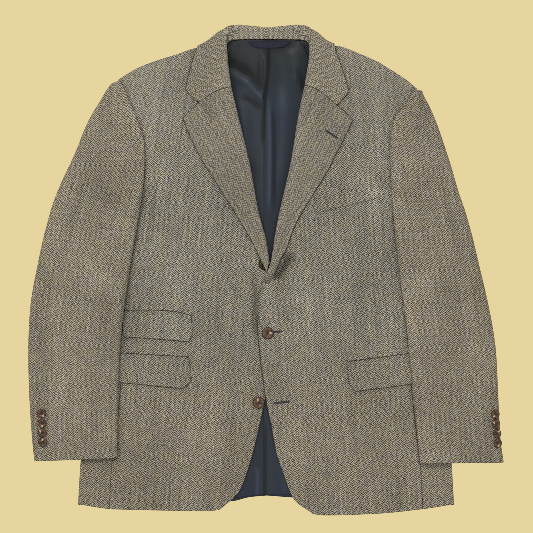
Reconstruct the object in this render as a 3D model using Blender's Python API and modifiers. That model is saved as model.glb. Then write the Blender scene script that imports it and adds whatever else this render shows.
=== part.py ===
"""Men's tweed hacking jacket, laid flat on its back with its middle button fastened.

Frame: metres, +Z up, +Y from the hem to the collar. The outer back lies on z = 0.
"left" and "right" are as seen from above with the collar at the top.
Every table below is in millimetres. A panel's height is that of its wall's middle.
"""

import math

import bpy
import numpy as np
from mathutils import Vector

NAME = "tweed_hacking_jacket"
MM = 0.001
SIDES = {"left": -1, "right": 1}

# Walls and gaps
SEAM = 0.3
TWEED = 2.0
FRONT_WALL = 2.4
COLLAR_WALL = 2.4
LINING_WALL = 1.0
LABEL_WALL = 0.6
FLAP_WALL = 1.6
JET_WALL = 1.0

# Buttons: 32 line on the front, 24 line at the cuffs
FRONT_BUTTON = {"radius": 9.8, "height": 3.4, "dish": 0.9, "rim": 1.6}
CUFF_BUTTON = {"radius": 7.6, "height": 2.8, "dish": 0.7, "rim": 1.3}
BUTTON_STEPS = 12

# Height of the front's wall above the floor, by the distance from the centre line
HEIGHT_STATIONS = (15, 120, 245)
HEIGHT = (
    # y, at the front edge, at mid front, at the side seam
    (-400, 6.4, 6.8, 7.6),
    (-250, 8.0, 8.8, 9.0),
    (-110, 9.0, 10.6, 11.0),
    (0, 9.8, 13.2, 12.0),
    (100, 12.0, 16.6, 14.0),
    (200, 16.0, 20.6, 17.5),
    (290, 21.0, 25.0, 22.5),
    (380, 24.0, 27.0, 25.0),
)
SHOULDER_ROUND = 22
SHOULDER_EDGE = 14.0
BACK_EDGE = SHOULDER_EDGE - FRONT_WALL / 2 - TWEED / 2 - SEAM
OVERLAP_REACH = 34
OVERLAP_FADE = 45
OVERLAP_TOP = 20
OVERLAP_BOTTOM = -205
OVERLAP_SHIFT = {"left": -1.3, "right": 1.8}

# Shoulder line as it lies, from the sleeve to the neck
SHOULDER = {
    "left": ((-244, 313.5), (-218, 330), (-178, 346), (-147, 355.5), (-120, 365), (-97, 370), (-73, 372)),
    "right": ((249, 299), (231, 314), (206, 330), (180, 345.5), (150, 358), (118, 369.5), (79, 372)),
}
HEM = {
    "left": ((-259, -395), (-192, -397), (-132, -398), (-88, -398.5), (-76, -396)),
    "right": ((259, -396), (196, -402.5), (154, -404.5), (112, -405.6), (91, -405.6), (78, -403.5)),
}
# Front edge from the hem's rounded corner, up the cutaway quarter to the lapel's break
FRONT_EDGE = {
    "left": ((-76, -396), (-62, -388), (-53, -381), (-43, -362), (-33, -339), (-25, -312),
             (-17, -283), (-10, -253), (-4, -224), (2, -200), (9, -165), (21, -104), (24, -56),
             (20, -20), (12, -2)),
    "right": ((78, -403.5), (59, -392), (51, -384), (42, -373), (36, -355), (27, -332), (18, -305),
              (13, -277), (7, -248), (2, -224), (-1, -203), (-7, -164), (-12, -111), (-14, -78),
              (-12.5, -56), (-10, -40), (-6, -25)),
}
# Roll line, where the front turns over into the lapel, from the break to the gorge
ROLL = {
    "left": ((5.9, 9.5), (5.6, 16), (4.4, 24), (0.5, 49), (-10, 87), (-27, 177), (-46, 256), (-57, 301)),
    "right": ((-3.5, -20), (-0.2, -8), (4.6, 4), (8.2, 15), (12.0, 40), (18, 76), (42, 185), (54, 261),
              (63.5, 304)),
}
# Shares of the roll's length that carry a row, closer together at the break
LAPEL_SHARES = (0, 0.03, 0.06, 0.1, 0.15, 0.21, 0.29, 0.38, 0.48, 0.58, 0.69, 0.8, 0.9, 1)
ROLL_SETBACK = {
    # y, from the roll's outermost line in to the seam under it
    "left": ((0, 3.2), (60, 6.0), (300, 8.0)),
    "right": ((-14, 3.2), (20, 4.4), (60, 6.0), (300, 8.0)),
}
ROLL_HEIGHT = {
    # y, height of the roll over the wall under it
    "left": ((10, 7.0), (60, 8.0), (300, 10.0)),
    "right": ((-14, 4.4), (10, 4.8), (30, 6.4), (60, 8.0), (300, 10.0)),
}
ROLL_DEPTH = {
    # y, from the roll's outermost line in to its crest
    "left": ((0, 2.0), (100, 4.0), (300, 4.6)),
    "right": ((-14, 1.8), (20, 2.6), (100, 4.0), (300, 4.6)),
}
LAPEL_LIFT = {
    # y, how far the leaf's outer edge stands off the front
    "left": ((22, 3.9), (62, 0.3), (260, 0.3)),
    "right": ((-14, 1.5), (20, 1.5), (70, 0.3), (260, 0.3)),
}
NECK = {
    # neck seam, from the gorge to the shoulder line
    "left": ((-67.5, 306), (-71.5, 328), (-74, 347), (-73, 372)),
    "right": ((73.5, 309), (77.5, 330), (80, 347), (79, 372)),
}
LAPEL_EDGE = {
    # outer edge, from the break to the lapel's point
    "left": ((-2.8, -3), (-8.2, 16), (-22, 46), (-46, 87), (-74, 132), (-102, 177), (-125, 221), (-136, 250)),
    "right": ((5.5, -20), (11.2, -9), (15.6, 0), (24.5, 20), (37, 44), (43, 64), (71, 115), (99, 160),
              (122, 205), (142, 246)),
}
NOTCH = {"left": (-109, 276), "right": (115, 272)}
NOTCH_LINE = {"left": ((-136, 250), (-123, 264)), "right": ((142, 246), (128, 261))}
GORGE_BEND = 5.0
GORGE_SHARES = (0.09, 0.27, 0.45, 0.63, 0.81, 1.0)
COLLAR_ROWS = 29
COLLAR_COLUMNS = len(GORGE_SHARES) + 2
COLLAR_SPLIT = (len(GORGE_SHARES) - 1) / (COLLAR_COLUMNS - 1)

# Side fold of the body. The side panel runs round it, from the front seam to the back seam
SIDE_FOLD = (
    # fold x, fold y, front seam y, back seam x, back seam y
    (311, -388, -395, 251, -388),
    (307, -320, -321, 247, -320),
    (298, -248, -248, 239, -248),
    (290, -165, -165, 231, -165),
    (286, -99, -99, 227, -92),
    (290, -16, -16, 232, 10),
    (296, 54, 60, 252, 110),
)
SIDE_WIDTH = 52
SIDE_ROWS = 12
# Row of the front's grid that meets the break
BREAK_ROW = 10
ARMHOLE_FRONT = {
    "left": ((-244, 60), (-238, 78), (-219, 107), (-208, 157), (-204.5, 198), (-206.5, 218),
             (-219.5, 256), (-234.5, 294), (-244, 313.5)),
    "right": ((244, 60), (238, 78), (220, 107), (210, 157), (208.5, 189), (208.5, 212),
              (213.5, 243), (232.5, 272), (242.5, 287), (249, 299)),
}
ARMHOLE_BACK = {
    "left": ((-252, 110), (-240, 160), (-234, 205), (-233, 255), (-243, 313)),
    "right": ((252, 110), (241, 160), (235, 205), (234, 250), (247, 299)),
}
CENTRE_BACK = 1.5
BACK_HEM = {
    "left": ((-251, -388), (-150, -387), (-53, -382), (-32, -377), (-13, -373), (CENTRE_BACK, -373)),
    "right": ((251, -389), (150, -386), (42, -376), (27, -375), (12, -373.5), (CENTRE_BACK, -373)),
}
BACK_NECK = {"left": ((-73, 372), (-60, 379), (-38, 380), (CENTRE_BACK, 380)),
             "right": ((79, 372), (66, 379), (41, 380), (CENTRE_BACK, 380))}

# Shares of a long edge, closer together by the neck
FINE_TOP = (0, 0.25, 0.45, 0.58, 0.67, 0.76, 0.84, 0.92, 1)

# Where the collar's fall lies on the floor it lifts the back
FALL_REACH = 108
FALL_START = 352
FALL_RAMP = 50
# The back's neck edge stays down to this distance from the centre line
NECK_FLAT = 66

LINING_REACH = 112
LINING_CORNER = (48, 345)
PLEAT = 5

# Sleeves, from the cuff to the head: the inner and outer folds as they lie
SLEEVE = {
    "left": (
        # inner x, y, outer x, y, forearm seam x, underarm x, puff inside, puff outside
        (-246, -310, -383, -316, -260, -260, 10, 11),
        (-245, -280, -386.5, -282, -259, -259, 11, 12),
        (-244, -214, -391, -214, -258, -258, 12, 14),
        (-242, -148, -393, -135, -257, -257, 13, 16),
        (-236, -82, -389.5, -62, -252, -252, 14, 18),
        (-227, -16, -378, 5, -246, -246, 15, 20),
        (-218, 38, -366, 60, -242, -242, 16, 22),
        (-215, 56, -360.5, 80, -241, -250, 16, 22),
        (-212, 74, -355, 100, -239, -276, 17, 23),
        (-205, 116, -340, 140, -214, -253, 15, 25),
        (-200, 168, -323, 176, -205, -241, 10, 26),
        (-200, 198, -311, 203, -203.2, -237, 7, 26),
        (-202.5, 220, -301, 229, -205.5, -236, 5, 26),
        (-215.5, 256, -289, 254, -218.3, -236, 5, 26),
        (-230, 290, -273, 280, -232.8, -241, 5, 24),
        (-238, 307.5, -261, 300, -240.5, -245, 5, 19),
        (-240.8, 312.5, -255, 307.5, -243, -247, 4, 9),
    ),
    "right": (
        (254, -319, 393, -318, 268, 268, 10, 11),
        (250, -280, 388, -283, 264, 264, 11, 12),
        (244, -214, 384, -210, 258, 258, 12, 14),
        (237, -148, 380, -135, 252, 252, 13, 16),
        (230, -82, 369, -65, 247, 247, 14, 18),
        (221, -16, 354, 0, 243, 243, 15, 20),
        (215, 38, 341, 55, 241, 241, 16, 22),
        (213, 56, 335.5, 75, 241, 250, 16, 22),
        (211, 74, 330, 94, 239, 276, 17, 23),
        (208, 116, 317, 132, 215, 253, 15, 25),
        (205, 168, 306, 170, 208.2, 241, 10, 26),
        (204.5, 198, 298, 195, 207, 237, 7, 26),
        (205.5, 218, 290, 219, 208, 236, 5, 26),
        (211.5, 247, 280, 247, 214.2, 236, 5, 26),
        (229.5, 273, 269, 272, 232.2, 240, 5, 24),
        (240.5, 290.5, 260, 289, 243.3, 248, 5, 19),
        (244.8, 298, 258, 295.5, 247.3, 251, 4, 9),
    ),
}
# Stations of that table that are built
SLEEVE_AT = (0, 1, 1.5, 2, 2.5, 3, 3.5, 4, 4.5, 5, 5.5, 6, 7, 8, 9, 9.5, 10, 11, 12, 13, 14, 15, 16)
ELBOW_WRAP = 14
SQUARENESS = 3.0
# Under a sleeve the body is full height to its side fold, then drops to the floor
BODY_MARGIN = 8
BODY_DROP = 15
ARMPIT = (70, 86)
ARMHOLE_MARGIN = 1
ARMHOLE_DROP = 6
POCKET_BAND = {"x": (112, 285), "y": (-212, -50), "fade": 16, "lift": 2.4}

# Flaps, from the end nearer the front edge outwards
TICKET = {
    "top": ((-124, -74.5), (-147, -69), (-172, -66.5), (-195, -66), (-236, -67)),
    "bottom": ((-128, -118), (-149, -116), (-174, -114), (-200, -112), (-234, -110)),
    "inner": ((-124, -74.5), (-122.5, -95), (-122, -112), (-128, -118)),
    "outer": ((-236, -67), (-236.5, -85), (-237, -104), (-234, -110)),
}
FLAPS = {
    "left": {
        "top": ((-129, -143), (-185, -140), (-241, -137), (-268, -136)),
        "bottom": ((-137, -195), (-165, -193), (-222, -187), (-268, -184)),
        "inner": ((-129, -143), (-125, -165), (-124.5, -184), (-137, -195)),
        "outer": ((-268, -136), (-268.5, -150), (-268.5, -168), (-268, -184)),
    },
    "right": {
        "top": ((134, -151), (184, -144.5), (233, -138), (272, -134)),
        "bottom": ((148, -200), (195, -194), (239, -188), (272, -184)),
        "inner": ((134, -151), (136, -170), (138.5, -190), (148, -200)),
        "outer": ((272, -134), (272.5, -150), (272.5, -168), (272, -184)),
    },
}
JET_HEIGHT = 8.5
WELT = {
    "top": ((83, 116), (118, 125), (152, 133.5), (186, 142)),
    "bottom": ((83, 94), (118, 103), (153, 111.5), (188, 120)),
    "inner": ((83, 116), (83, 108), (83, 101), (83, 94)),
    "outer": ((186, 142), (186.7, 135), (187.3, 128), (188, 120)),
}
LABEL = {
    "top": ((-29, 377.5), (-6, 377.5), (18, 377.5), (41, 377.5)),
    "bottom": ((-16, 367.5), (-2, 367.2), (13, 367.2), (27, 368)),
    "inner": ((-29, 377.5), (-26, 374), (-21, 370.5), (-16, 367.5)),
    "outer": ((41, 377.5), (38, 374), (33, 371), (27, 368)),
}

# Collar, one strip: sections from the left gorge round the back of the neck to the right gorge
COLLAR = (
    # seam x, y, z,      fold x, y, z,        leaf x, y, z,         edge x, y, z,        fold radius
    (-66, 306, 21.5, -57, 303.5, 26.5, -109, 276.8, 28.0, -132, 298, 28.0, 4.4),
    (-70, 328, 22.5, -60.5, 325, 28.0, -95, 318, 31.0, -126.5, 322, 28.5, 4.6),
    (-72.5, 347, 22.5, -62.5, 345, 29.0, -95, 343, 31.0, -120, 345, 27.0, 4.8),
    (-70, 363, 20.0, -64, 363, 29.0, -92, 363, 30.0, -115, 360, 26.0, 4.8),
    (-66, 373, 15.0, -65, 380, 26.0, -90, 379, 26.0, -111, 370, 17.0, 4.8),
    (-62, 378, 11.0, -64.5, 391, 20.0, -86, 386, 15.0, -103, 368, 3.0, 4.6),
    (-56, 380, 9.0, -60.5, 402.5, 13.0, -72.5, 394, 7.0, -84, 361, 1.4, 4.6),
    (-44, 381.5, 8.2, -46, 405.5, 7.2, -56, 386, 1.4, -60, 359, 1.2, 4.8),
    (-22, 382, 8.0, -22, 403.5, 6.0, -27, 382, 1.2, -30, 358, 1.2, 4.8),
    (3, 382, 8.0, 3, 401.5, 6.0, 3, 381, 1.2, 3, 358, 1.2, 4.8),
    (28, 382, 8.0, 28, 403.5, 6.0, 33, 382, 1.2, 36, 358, 1.2, 4.8),
    (50, 381.5, 8.2, 52, 405.5, 7.2, 62, 386, 1.4, 64, 359, 1.2, 4.8),
    (62, 380, 9.0, 65.5, 402.5, 13.0, 77, 394, 7.0, 86, 361, 1.4, 4.6),
    (68, 378, 11.0, 70.5, 391, 20.0, 91, 385.5, 15.0, 106, 370, 3.0, 4.6),
    (72, 373, 15.0, 71, 380, 26.0, 93, 379, 26.0, 112, 373, 17.0, 4.8),
    (76, 363, 20.0, 71, 363, 29.0, 94, 363, 30.0, 113.5, 362, 26.0, 4.8),
    (78.5, 347, 22.5, 70, 346, 29.0, 99, 344, 31.0, 119, 347, 27.0, 4.8),
    (76.5, 330, 22.5, 67.5, 328, 28.0, 100, 318, 31.0, 128, 322, 28.5, 4.6),
    (72.5, 309, 21.5, 63.5, 306.5, 26.5, 115, 272.8, 28.0, 136, 293.5, 28.0, 4.4),
)

FRONT_BUTTONS = {"button_top": ("left", -7, 11), "button_middle": ("right", 3, -104),
                 "button_bottom": ("left", -12, -219)}
CUFF_BUTTONS = {
    "left": ((-370, -237), (-369, -253), (-369, -268.5), (-368, -284)),
    "right": ((378, -238), (379, -254), (381, -270), (382, -286)),
}


# Curves and grids

def cubic(x, xs, ys):
    """Cubic through (xs, ys) that never overshoots them, held level past both ends."""
    xs = np.asarray(xs, float)
    ys = np.asarray(ys, float)
    step = np.diff(xs)
    slope = np.diff(ys) / step
    rate = np.zeros(len(xs))
    rate[0] = slope[0]
    rate[-1] = slope[-1]
    for i in range(1, len(xs) - 1):
        if slope[i - 1] * slope[i] > 0:
            before = 2 * step[i] + step[i - 1]
            after = step[i] + 2 * step[i - 1]
            rate[i] = (before + after) / (before / slope[i - 1] + after / slope[i])
    x = np.clip(np.asarray(x, float), xs[0], xs[-1])
    i = np.clip(np.searchsorted(xs, x, side="right") - 1, 0, len(step) - 1)
    t = (x - xs[i]) / step[i]
    return (ys[i] * (1 + 2 * t) * (1 - t) ** 2 + rate[i] * step[i] * t * (1 - t) ** 2
            + ys[i + 1] * t * t * (3 - 2 * t) + rate[i + 1] * step[i] * t * t * (t - 1))


def lookup(rows, x):
    """Second column of a two-column table, at x in its first."""
    return cubic(x, [row[0] for row in rows], [row[1] for row in rows])


def ease(t):
    """Smooth step from 0 to 1."""
    t = np.clip(t, 0, 1)
    return t * t * (3 - 2 * t)


def even(count):
    """Evenly spaced shares from 0 to 1."""
    return np.linspace(0, 1, count)


def lengths(points):
    """Distance along a line to each of its points."""
    steps = np.linalg.norm(np.diff(np.asarray(points, float), axis=0), axis=1)
    return np.concatenate(([0], np.cumsum(steps)))


def trace(points, shares):
    """Points at the given shares of a smooth line through a short table of points."""
    points = np.asarray(points, float)
    along = lengths(points)
    at = np.asarray(shares, float) * along[-1]
    return np.stack([cubic(at, along, points[:, k]) for k in range(points.shape[1])], axis=1)


def offset_line(points, distances):
    """A line moved sideways in plan, to its left as it runs."""
    points = np.asarray(points, float)
    run = np.gradient(points[:, :2], axis=0)
    run /= np.linalg.norm(run, axis=1)[:, None]
    left = np.stack([-run[:, 1], run[:, 0]], axis=1)
    return points[:, :2] + left * np.asarray(distances, float).reshape(-1, 1)


def patch(bottom, top, outer, inner, row_shares=None):
    """Plan grid between four traced edges; rows run from bottom to top, columns outer to inner."""
    v = (even(len(outer)) if row_shares is None else np.asarray(row_shares, float))[:, None, None]
    u = even(len(bottom))[None, :, None]
    across = (1 - u) * outer[:, None, :] + u * inner[:, None, :]
    along = (1 - v) * bottom[None, :, :] + v * top[None, :, :]
    corners = ((1 - u) * (1 - v) * bottom[0] + u * (1 - v) * bottom[-1]
               + (1 - u) * v * top[0] + u * v * top[-1])
    return across + along - corners


def with_height(plan, height):
    """A plan grid raised to the heights of the same shape."""
    return np.concatenate([plan, np.asarray(height)[..., None]], axis=-1)


def resample(table, at):
    """A table's columns at the given stations, counted from its first row."""
    table = np.asarray(table, float)
    stations = np.arange(len(table))
    return np.stack([cubic(at, stations, table[:, k]) for k in range(table.shape[1])], axis=1)


# Heights of the layers

def body_height(x, y):
    """Middle of the front's wall, before the fronts overlap."""
    x = np.asarray(x, float)
    y = np.asarray(y, float)
    ys = [row[0] for row in HEIGHT]
    edge, middle, side = (cubic(y, ys, [row[k] for row in HEIGHT]) for k in (1, 2, 3))
    near, mid, far = HEIGHT_STATIONS
    reach = np.abs(x)
    inner = edge + (middle - edge) * ease((reach - near) / (mid - near))
    outer = middle + (side - middle) * ease((reach - mid) / (far - mid))
    full = np.where(reach < mid, inner, outer)
    return round_shoulder(x, y, full, SHOULDER_EDGE)


def shoulder_distance(x, y):
    """How far a point lies below the shoulder line."""
    left = np.array(SHOULDER["left"])
    right = np.array(SHOULDER["right"])[::-1]
    xs = np.concatenate([left[:, 0], right[:, 0]])
    ys = np.concatenate([left[:, 1], right[:, 1]])
    return cubic(x, xs, ys) - y


def round_shoulder(x, y, full, edge):
    """Rounds a layer from its full height to the edge height at the shoulder line."""
    t = np.clip(shoulder_distance(x, y) / SHOULDER_ROUND, 0, 1)
    return edge + (full - edge) * np.sqrt(1 - (1 - t) ** 2)


def front_height(side, x, y):
    """Middle of one front's wall; the right front laps over the left."""
    reach = ease((OVERLAP_REACH + OVERLAP_FADE - np.abs(x)) / OVERLAP_FADE)
    below = ease((OVERLAP_TOP + OVERLAP_FADE - y) / OVERLAP_FADE)
    above = ease((y - OVERLAP_BOTTOM + 2 * OVERLAP_FADE) / OVERLAP_FADE)
    return body_height(x, y) + OVERLAP_SHIFT[side] * reach * below * above


def on_front(side, x, y, wall):
    """Middle of a piece of the given wall that lies on a front."""
    return front_height(side, x, y) + FRONT_WALL / 2 + SEAM + wall / 2


def back_height(x, y):
    """Middle of the back's wall: on the floor, over the collar's fall, up to the shoulder."""
    lift = COLLAR_WALL + 2 * SEAM
    over_fall = (ease((y - FALL_START + FALL_RAMP) / FALL_RAMP)
                 * ease((FALL_REACH + FALL_RAMP - np.abs(x)) / FALL_RAMP))
    low = TWEED / 2 + lift * over_fall
    seam_zone = ease((np.abs(x) - NECK_FLAT) / 20)
    return low + (round_shoulder(x, y, low, BACK_EDGE) - low) * seam_zone


def lining_height(x, y):
    """Middle of the back lining's wall."""
    at_corner = ease((np.abs(x) - LINING_CORNER[0]) / 14) * ease((y - LINING_CORNER[1]) / 25)
    return back_height(x, y) + TWEED / 2 + 2 * SEAM + LINING_WALL / 2 + 3 * LINING_WALL * at_corner


def body_edge(side, y):
    """Distances from the centre line where the body under a sleeve starts and ends its drop."""
    fold = cubic(y, [row[1] for row in SIDE_FOLD], [row[0] for row in SIDE_FOLD]) + BODY_MARGIN
    front = np.array(ARMHOLE_FRONT[side])
    back = np.array(ARMHOLE_BACK[side])
    full = np.abs(cubic(y, front[:, 1], front[:, 0])) + ARMHOLE_MARGIN
    floor = np.maximum(np.abs(cubic(y, back[:, 1], back[:, 0])), full + ARMHOLE_DROP)
    above = ease((y - ARMPIT[0]) / (ARMPIT[1] - ARMPIT[0]))
    return fold + (full - fold) * above, fold + BODY_DROP + (floor - fold - BODY_DROP) * above


def pocket_lift(x, y):
    """How much the pocket flaps raise a sleeve that lies over them."""
    reach = np.abs(x)
    near, far = POCKET_BAND["x"]
    low, high = POCKET_BAND["y"]
    fade = POCKET_BAND["fade"]
    across = ease((reach - near + fade) / fade) * ease((far + fade - reach) / fade)
    along = ease((y - low + fade) / fade) * ease((high + fade - y) / fade)
    return POCKET_BAND["lift"] * across * along


def sleeve_rest(side, x, y):
    """Middle of a sleeve's lower wall: on the body, and on the floor outside it."""
    full, floor = body_edge(side, y)
    on_body = body_height(x, y) + FRONT_WALL / 2 + 2 * SEAM + TWEED / 2 + pocket_lift(x, y)
    on_floor = round_shoulder(x, y, TWEED / 2, BACK_EDGE)
    return float(on_floor + (on_body - on_floor) * ease((floor - abs(x)) / (floor - full)))


# Blender objects

def material(name, colour, roughness, metallic=0.0):
    """A Principled material."""
    made = bpy.data.materials.new(name)
    made.use_nodes = True
    shader = made.node_tree.nodes["Principled BSDF"]
    shader.inputs["Base Color"].default_value = (*colour, 1.0)
    shader.inputs["Roughness"].default_value = roughness
    shader.inputs["Metallic"].default_value = metallic
    made.diffuse_color = (*colour, 1.0)
    return made


def add_mesh(name, points, faces, finish):
    """A smooth-shaded mesh object in the jacket's collection, from millimetres."""
    mesh = bpy.data.meshes.new(name)
    mesh.from_pydata([tuple(p * MM for p in point) for point in points], [], faces)
    mesh.materials.append(finish)
    mesh.shade_smooth()
    piece = bpy.data.objects.new(name, mesh)
    bpy.data.collections[NAME].objects.link(piece)
    return piece


def add_cloth(name, grid, wall, finish):
    """A cloth wall: the grid is its middle surface, thickened both ways."""
    rows, columns = grid.shape[:2]
    faces = []
    for i in range(rows - 1):
        for j in range(columns - 1):
            corner = i * columns + j
            faces.append((corner, corner + 1, corner + columns + 1, corner + columns))
    piece = add_mesh(name, grid.reshape(-1, 3).tolist(), faces, finish)
    thicken = piece.modifiers.new("cloth", "SOLIDIFY")
    thicken.thickness = wall * MM
    thicken.offset = 0
    thicken.use_quality_normals = True
    return piece


def add_button(name, size, place, normal, finish):
    """A turned, dished button whose back lies at a point, facing along the normal."""
    radius = size["radius"] * MM
    height = size["height"] * MM
    dish = size["dish"] * MM
    rim = size["rim"] * MM
    profile = (
        (0, height - dish), (radius - 2 * rim, height - dish), (radius - rim, height),
        (radius, height * 0.6), (radius - rim, 0), (0, 0),
    )
    mesh = bpy.data.meshes.new(name)
    edges = [(i, i + 1) for i in range(len(profile) - 1)]
    mesh.from_pydata([(r, 0, z) for r, z in profile], edges, [])
    mesh.materials.append(finish)
    piece = bpy.data.objects.new(name, mesh)
    bpy.data.collections[NAME].objects.link(piece)
    turn = piece.modifiers.new("turn", "SCREW")
    turn.axis = "Z"
    turn.steps = BUTTON_STEPS
    turn.render_steps = BUTTON_STEPS
    turn.use_merge_vertices = True
    turn.merge_threshold = 0.00005
    piece.location = Vector(place) * MM
    piece.rotation_euler = Vector(normal).to_track_quat("Z", "Y").to_euler()
    return piece


# Panels

def roll_lines(side):
    """Plan lines of a lapel's roll: its outermost line, its crest, and the seam under it."""
    sign = SIDES[side]
    roll = trace(ROLL[side], LAPEL_SHARES)
    inset = np.stack([0 * roll[:, 1], lookup(ROLL_DEPTH[side], roll[:, 1]),
                      lookup(ROLL_SETBACK[side], roll[:, 1])]) + COLLAR_WALL / 2
    return [offset_line(roll, -sign * distance) for distance in inset]


def front_inner_edge(side, rows):
    """Front edge up to the lapel's break, then the seam under the roll and the neck seam."""
    sign = SIDES[side]
    under_roll = offset_line(roll_lines(side)[2], -sign * 2 * SEAM)
    neck = np.array(NECK[side]) + (sign * 1.5, 0)
    lower = trace(np.concatenate([FRONT_EDGE[side], under_roll[:1]]), even(BREAK_ROW + 1))
    shares = np.concatenate([(0, 0.035, 0.07), np.linspace(0.15, 1, rows - BREAK_ROW - 3)])
    upper = trace(np.concatenate([under_roll, neck[1:]]), shares)
    return np.concatenate([lower, upper[1:]])


def side_stations():
    """The side panel's sections, shared by the seams of its neighbours."""
    return resample(SIDE_FOLD, np.linspace(0, len(SIDE_FOLD) - 1, SIDE_ROWS))


def add_front(side, finish):
    """Front panel: hem, side seam and armhole, shoulder, front edge."""
    sign = SIDES[side]
    seam = [(sign * (row[0] - SIDE_WIDTH), row[2]) for row in side_stations()]
    outer = np.concatenate([seam, trace(ARMHOLE_FRONT[side], even(12))[1:]]) - (sign * SEAM / 2, 0)
    shares = lengths(outer) / lengths(outer)[-1]
    columns = even(11)
    plan = patch(trace(HEM[side], columns), trace(SHOULDER[side], columns), outer,
                 front_inner_edge(side, len(outer)), shares)
    height = front_height(side, plan[..., 0], plan[..., 1])
    return add_cloth("front_" + side, with_height(plan, height), FRONT_WALL, finish)


def add_back(side, finish):
    """Back panel on the floor: hem, side seam and armhole, shoulder and neck, centre seam."""
    sign = SIDES[side]
    seam = [(sign * row[3], row[4]) for row in side_stations()]
    outer = np.concatenate([seam, trace(ARMHOLE_BACK[side], FINE_TOP)[1:]]) - (sign * SEAM / 2, 0)
    shares = lengths(outer) / lengths(outer)[-1]
    top = np.concatenate([trace(SHOULDER[side], even(7)), trace(BACK_NECK[side], even(4))[1:]])
    top[0] = outer[-1]
    top[-1, 0] += sign * SEAM / 2
    bottom = trace(BACK_HEM[side], even(len(top)))
    bottom[0] = outer[0]
    bottom[-1, 0] += sign * SEAM / 2
    centre = bottom[-1] + (top[-1] - bottom[-1]) * shares[:, None]
    plan = patch(bottom, top, outer, centre, shares)
    height = back_height(plan[..., 0], plan[..., 1])
    return add_cloth("back_" + side, with_height(plan, height), TWEED, finish)


def add_side(side, finish):
    """Side panel: from the back seam on the floor, round the side fold, to the front seam."""
    sign = SIDES[side]
    turn = 5
    low = TWEED / 2
    grid = []
    for outer_x, fold_y, front_y, back_x, back_y in side_stations():
        fold_x = outer_x - TWEED / 2
        seam_x = outer_x - SIDE_WIDTH + SEAM / 2
        top = float(body_height(sign * seam_x, front_y))
        half = (top - low) / 2
        section = [(back_x + SEAM / 2, back_y, low),
                   ((back_x + fold_x - half) / 2, (back_y + fold_y) / 2, low)]
        for k in range(turn + 1):
            angle = math.pi * (k / turn - 0.5)
            section.append((fold_x - half + half * math.cos(angle), fold_y,
                            low + half + half * math.sin(angle)))
        section.append(((seam_x + fold_x - half) / 2, (front_y + fold_y) / 2, top))
        section.append((seam_x, front_y, top))
        grid.append([(sign * x, y, z) for x, y, z in section])
    return add_cloth("side_" + side, np.array(grid), TWEED, finish)


def add_lining(side, finish):
    """Back lining; the right one laps over the left as a pleat."""
    sign = SIDES[side]
    lap = 0 if side == "left" else PLEAT
    columns = even(6)
    rows = np.concatenate([np.linspace(0, 0.8, 9), np.linspace(0.84, 1, 7)])
    hem = BACK_HEM[side]
    bottom = trace(((sign * LINING_REACH, hem[1][1] + 8), (sign * 60, hem[2][1] + 5),
                    (sign * 30, hem[3][1] + 3), (CENTRE_BACK - sign * lap, hem[-1][1] + 2.5)), columns)
    top = trace(((sign * 62, 371), (sign * 52, 379), (CENTRE_BACK - sign * lap, 381)), columns)
    outer = trace((bottom[0], (sign * LINING_REACH, 180), (sign * 86, 300), top[0]), rows)
    inner = bottom[-1] + (top[-1] - bottom[-1]) * rows[:, None]
    plan = patch(bottom, top, outer, inner, rows)
    height = lining_height(plan[..., 0], plan[..., 1])
    if side == "right":
        height += (LINING_WALL + 2 * SEAM) * ease((3 * PLEAT - plan[..., 0]) / (2 * PLEAT))
    return add_cloth("lining_" + side, with_height(plan, height), LINING_WALL, finish)


def gorge(side, t):
    """Gorge seam in plan: 0 at the roll line, 1 at the notch."""
    start = np.array(ROLL[side][-1])
    end = np.array(NOTCH[side])
    t = np.asarray(t, float)
    line = start + (end - start) * t[:, None]
    line[:, 1] += GORGE_BEND * np.sin(math.pi * t)
    return line


def lapel_grid(side):
    """Lapel: its leaf from the outer edge in, the roll, and the wall under the roll."""
    roll, centre, under = roll_lines(side)
    tall = lookup(ROLL_HEIGHT[side], under[:, 1])
    base = front_height(side, under[:, 0], under[:, 1])
    notch_line = np.array(NOTCH_LINE[side] + (NOTCH[side],))
    top = np.concatenate([trace(notch_line, even(4))[:-1], gorge(side, GORGE_SHARES[::-1])])
    centre[-1] = top[-1]
    outer = trace(LAPEL_EDGE[side], LAPEL_SHARES)
    outer[-1] = top[0]
    bottom = outer[0] + (centre[0] - outer[0]) * even(len(top))[:, None]
    leaf = patch(bottom, top, outer, centre, LAPEL_SHARES)
    grid = []
    for i, line in enumerate(leaf):
        reach = np.linalg.norm(line - centre[i], axis=1)
        rest = on_front(side, line[:, 0], line[:, 1], COLLAR_WALL) + lookup(LAPEL_LIFT[side], line[:, 1])
        crest = np.maximum(base[i] + tall[i], rest)
        height = rest + (crest - rest) * (1 - ease(reach / reach[0] / 0.7))
        row = [(x, y, z) for (x, y), z in zip(line, height)]
        for angle in (45, 0, -45, -90):
            lean = math.radians(angle)
            x, y = centre[i] + (roll[i] - centre[i]) * math.cos(lean)
            row.append((x, y, base[i] + tall[i] / 2 * (1 + math.sin(lean))))
        row.append((*((under[i] + centre[i]) / 2), base[i]))
        row.append((*under[i], base[i]))
        grid.append(row)
    return np.array(grid)


def add_lapel(side, finish):
    """Lapel, up to the gorge seam."""
    return add_cloth("lapel_" + side, lapel_grid(side), COLLAR_WALL, finish)


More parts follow.
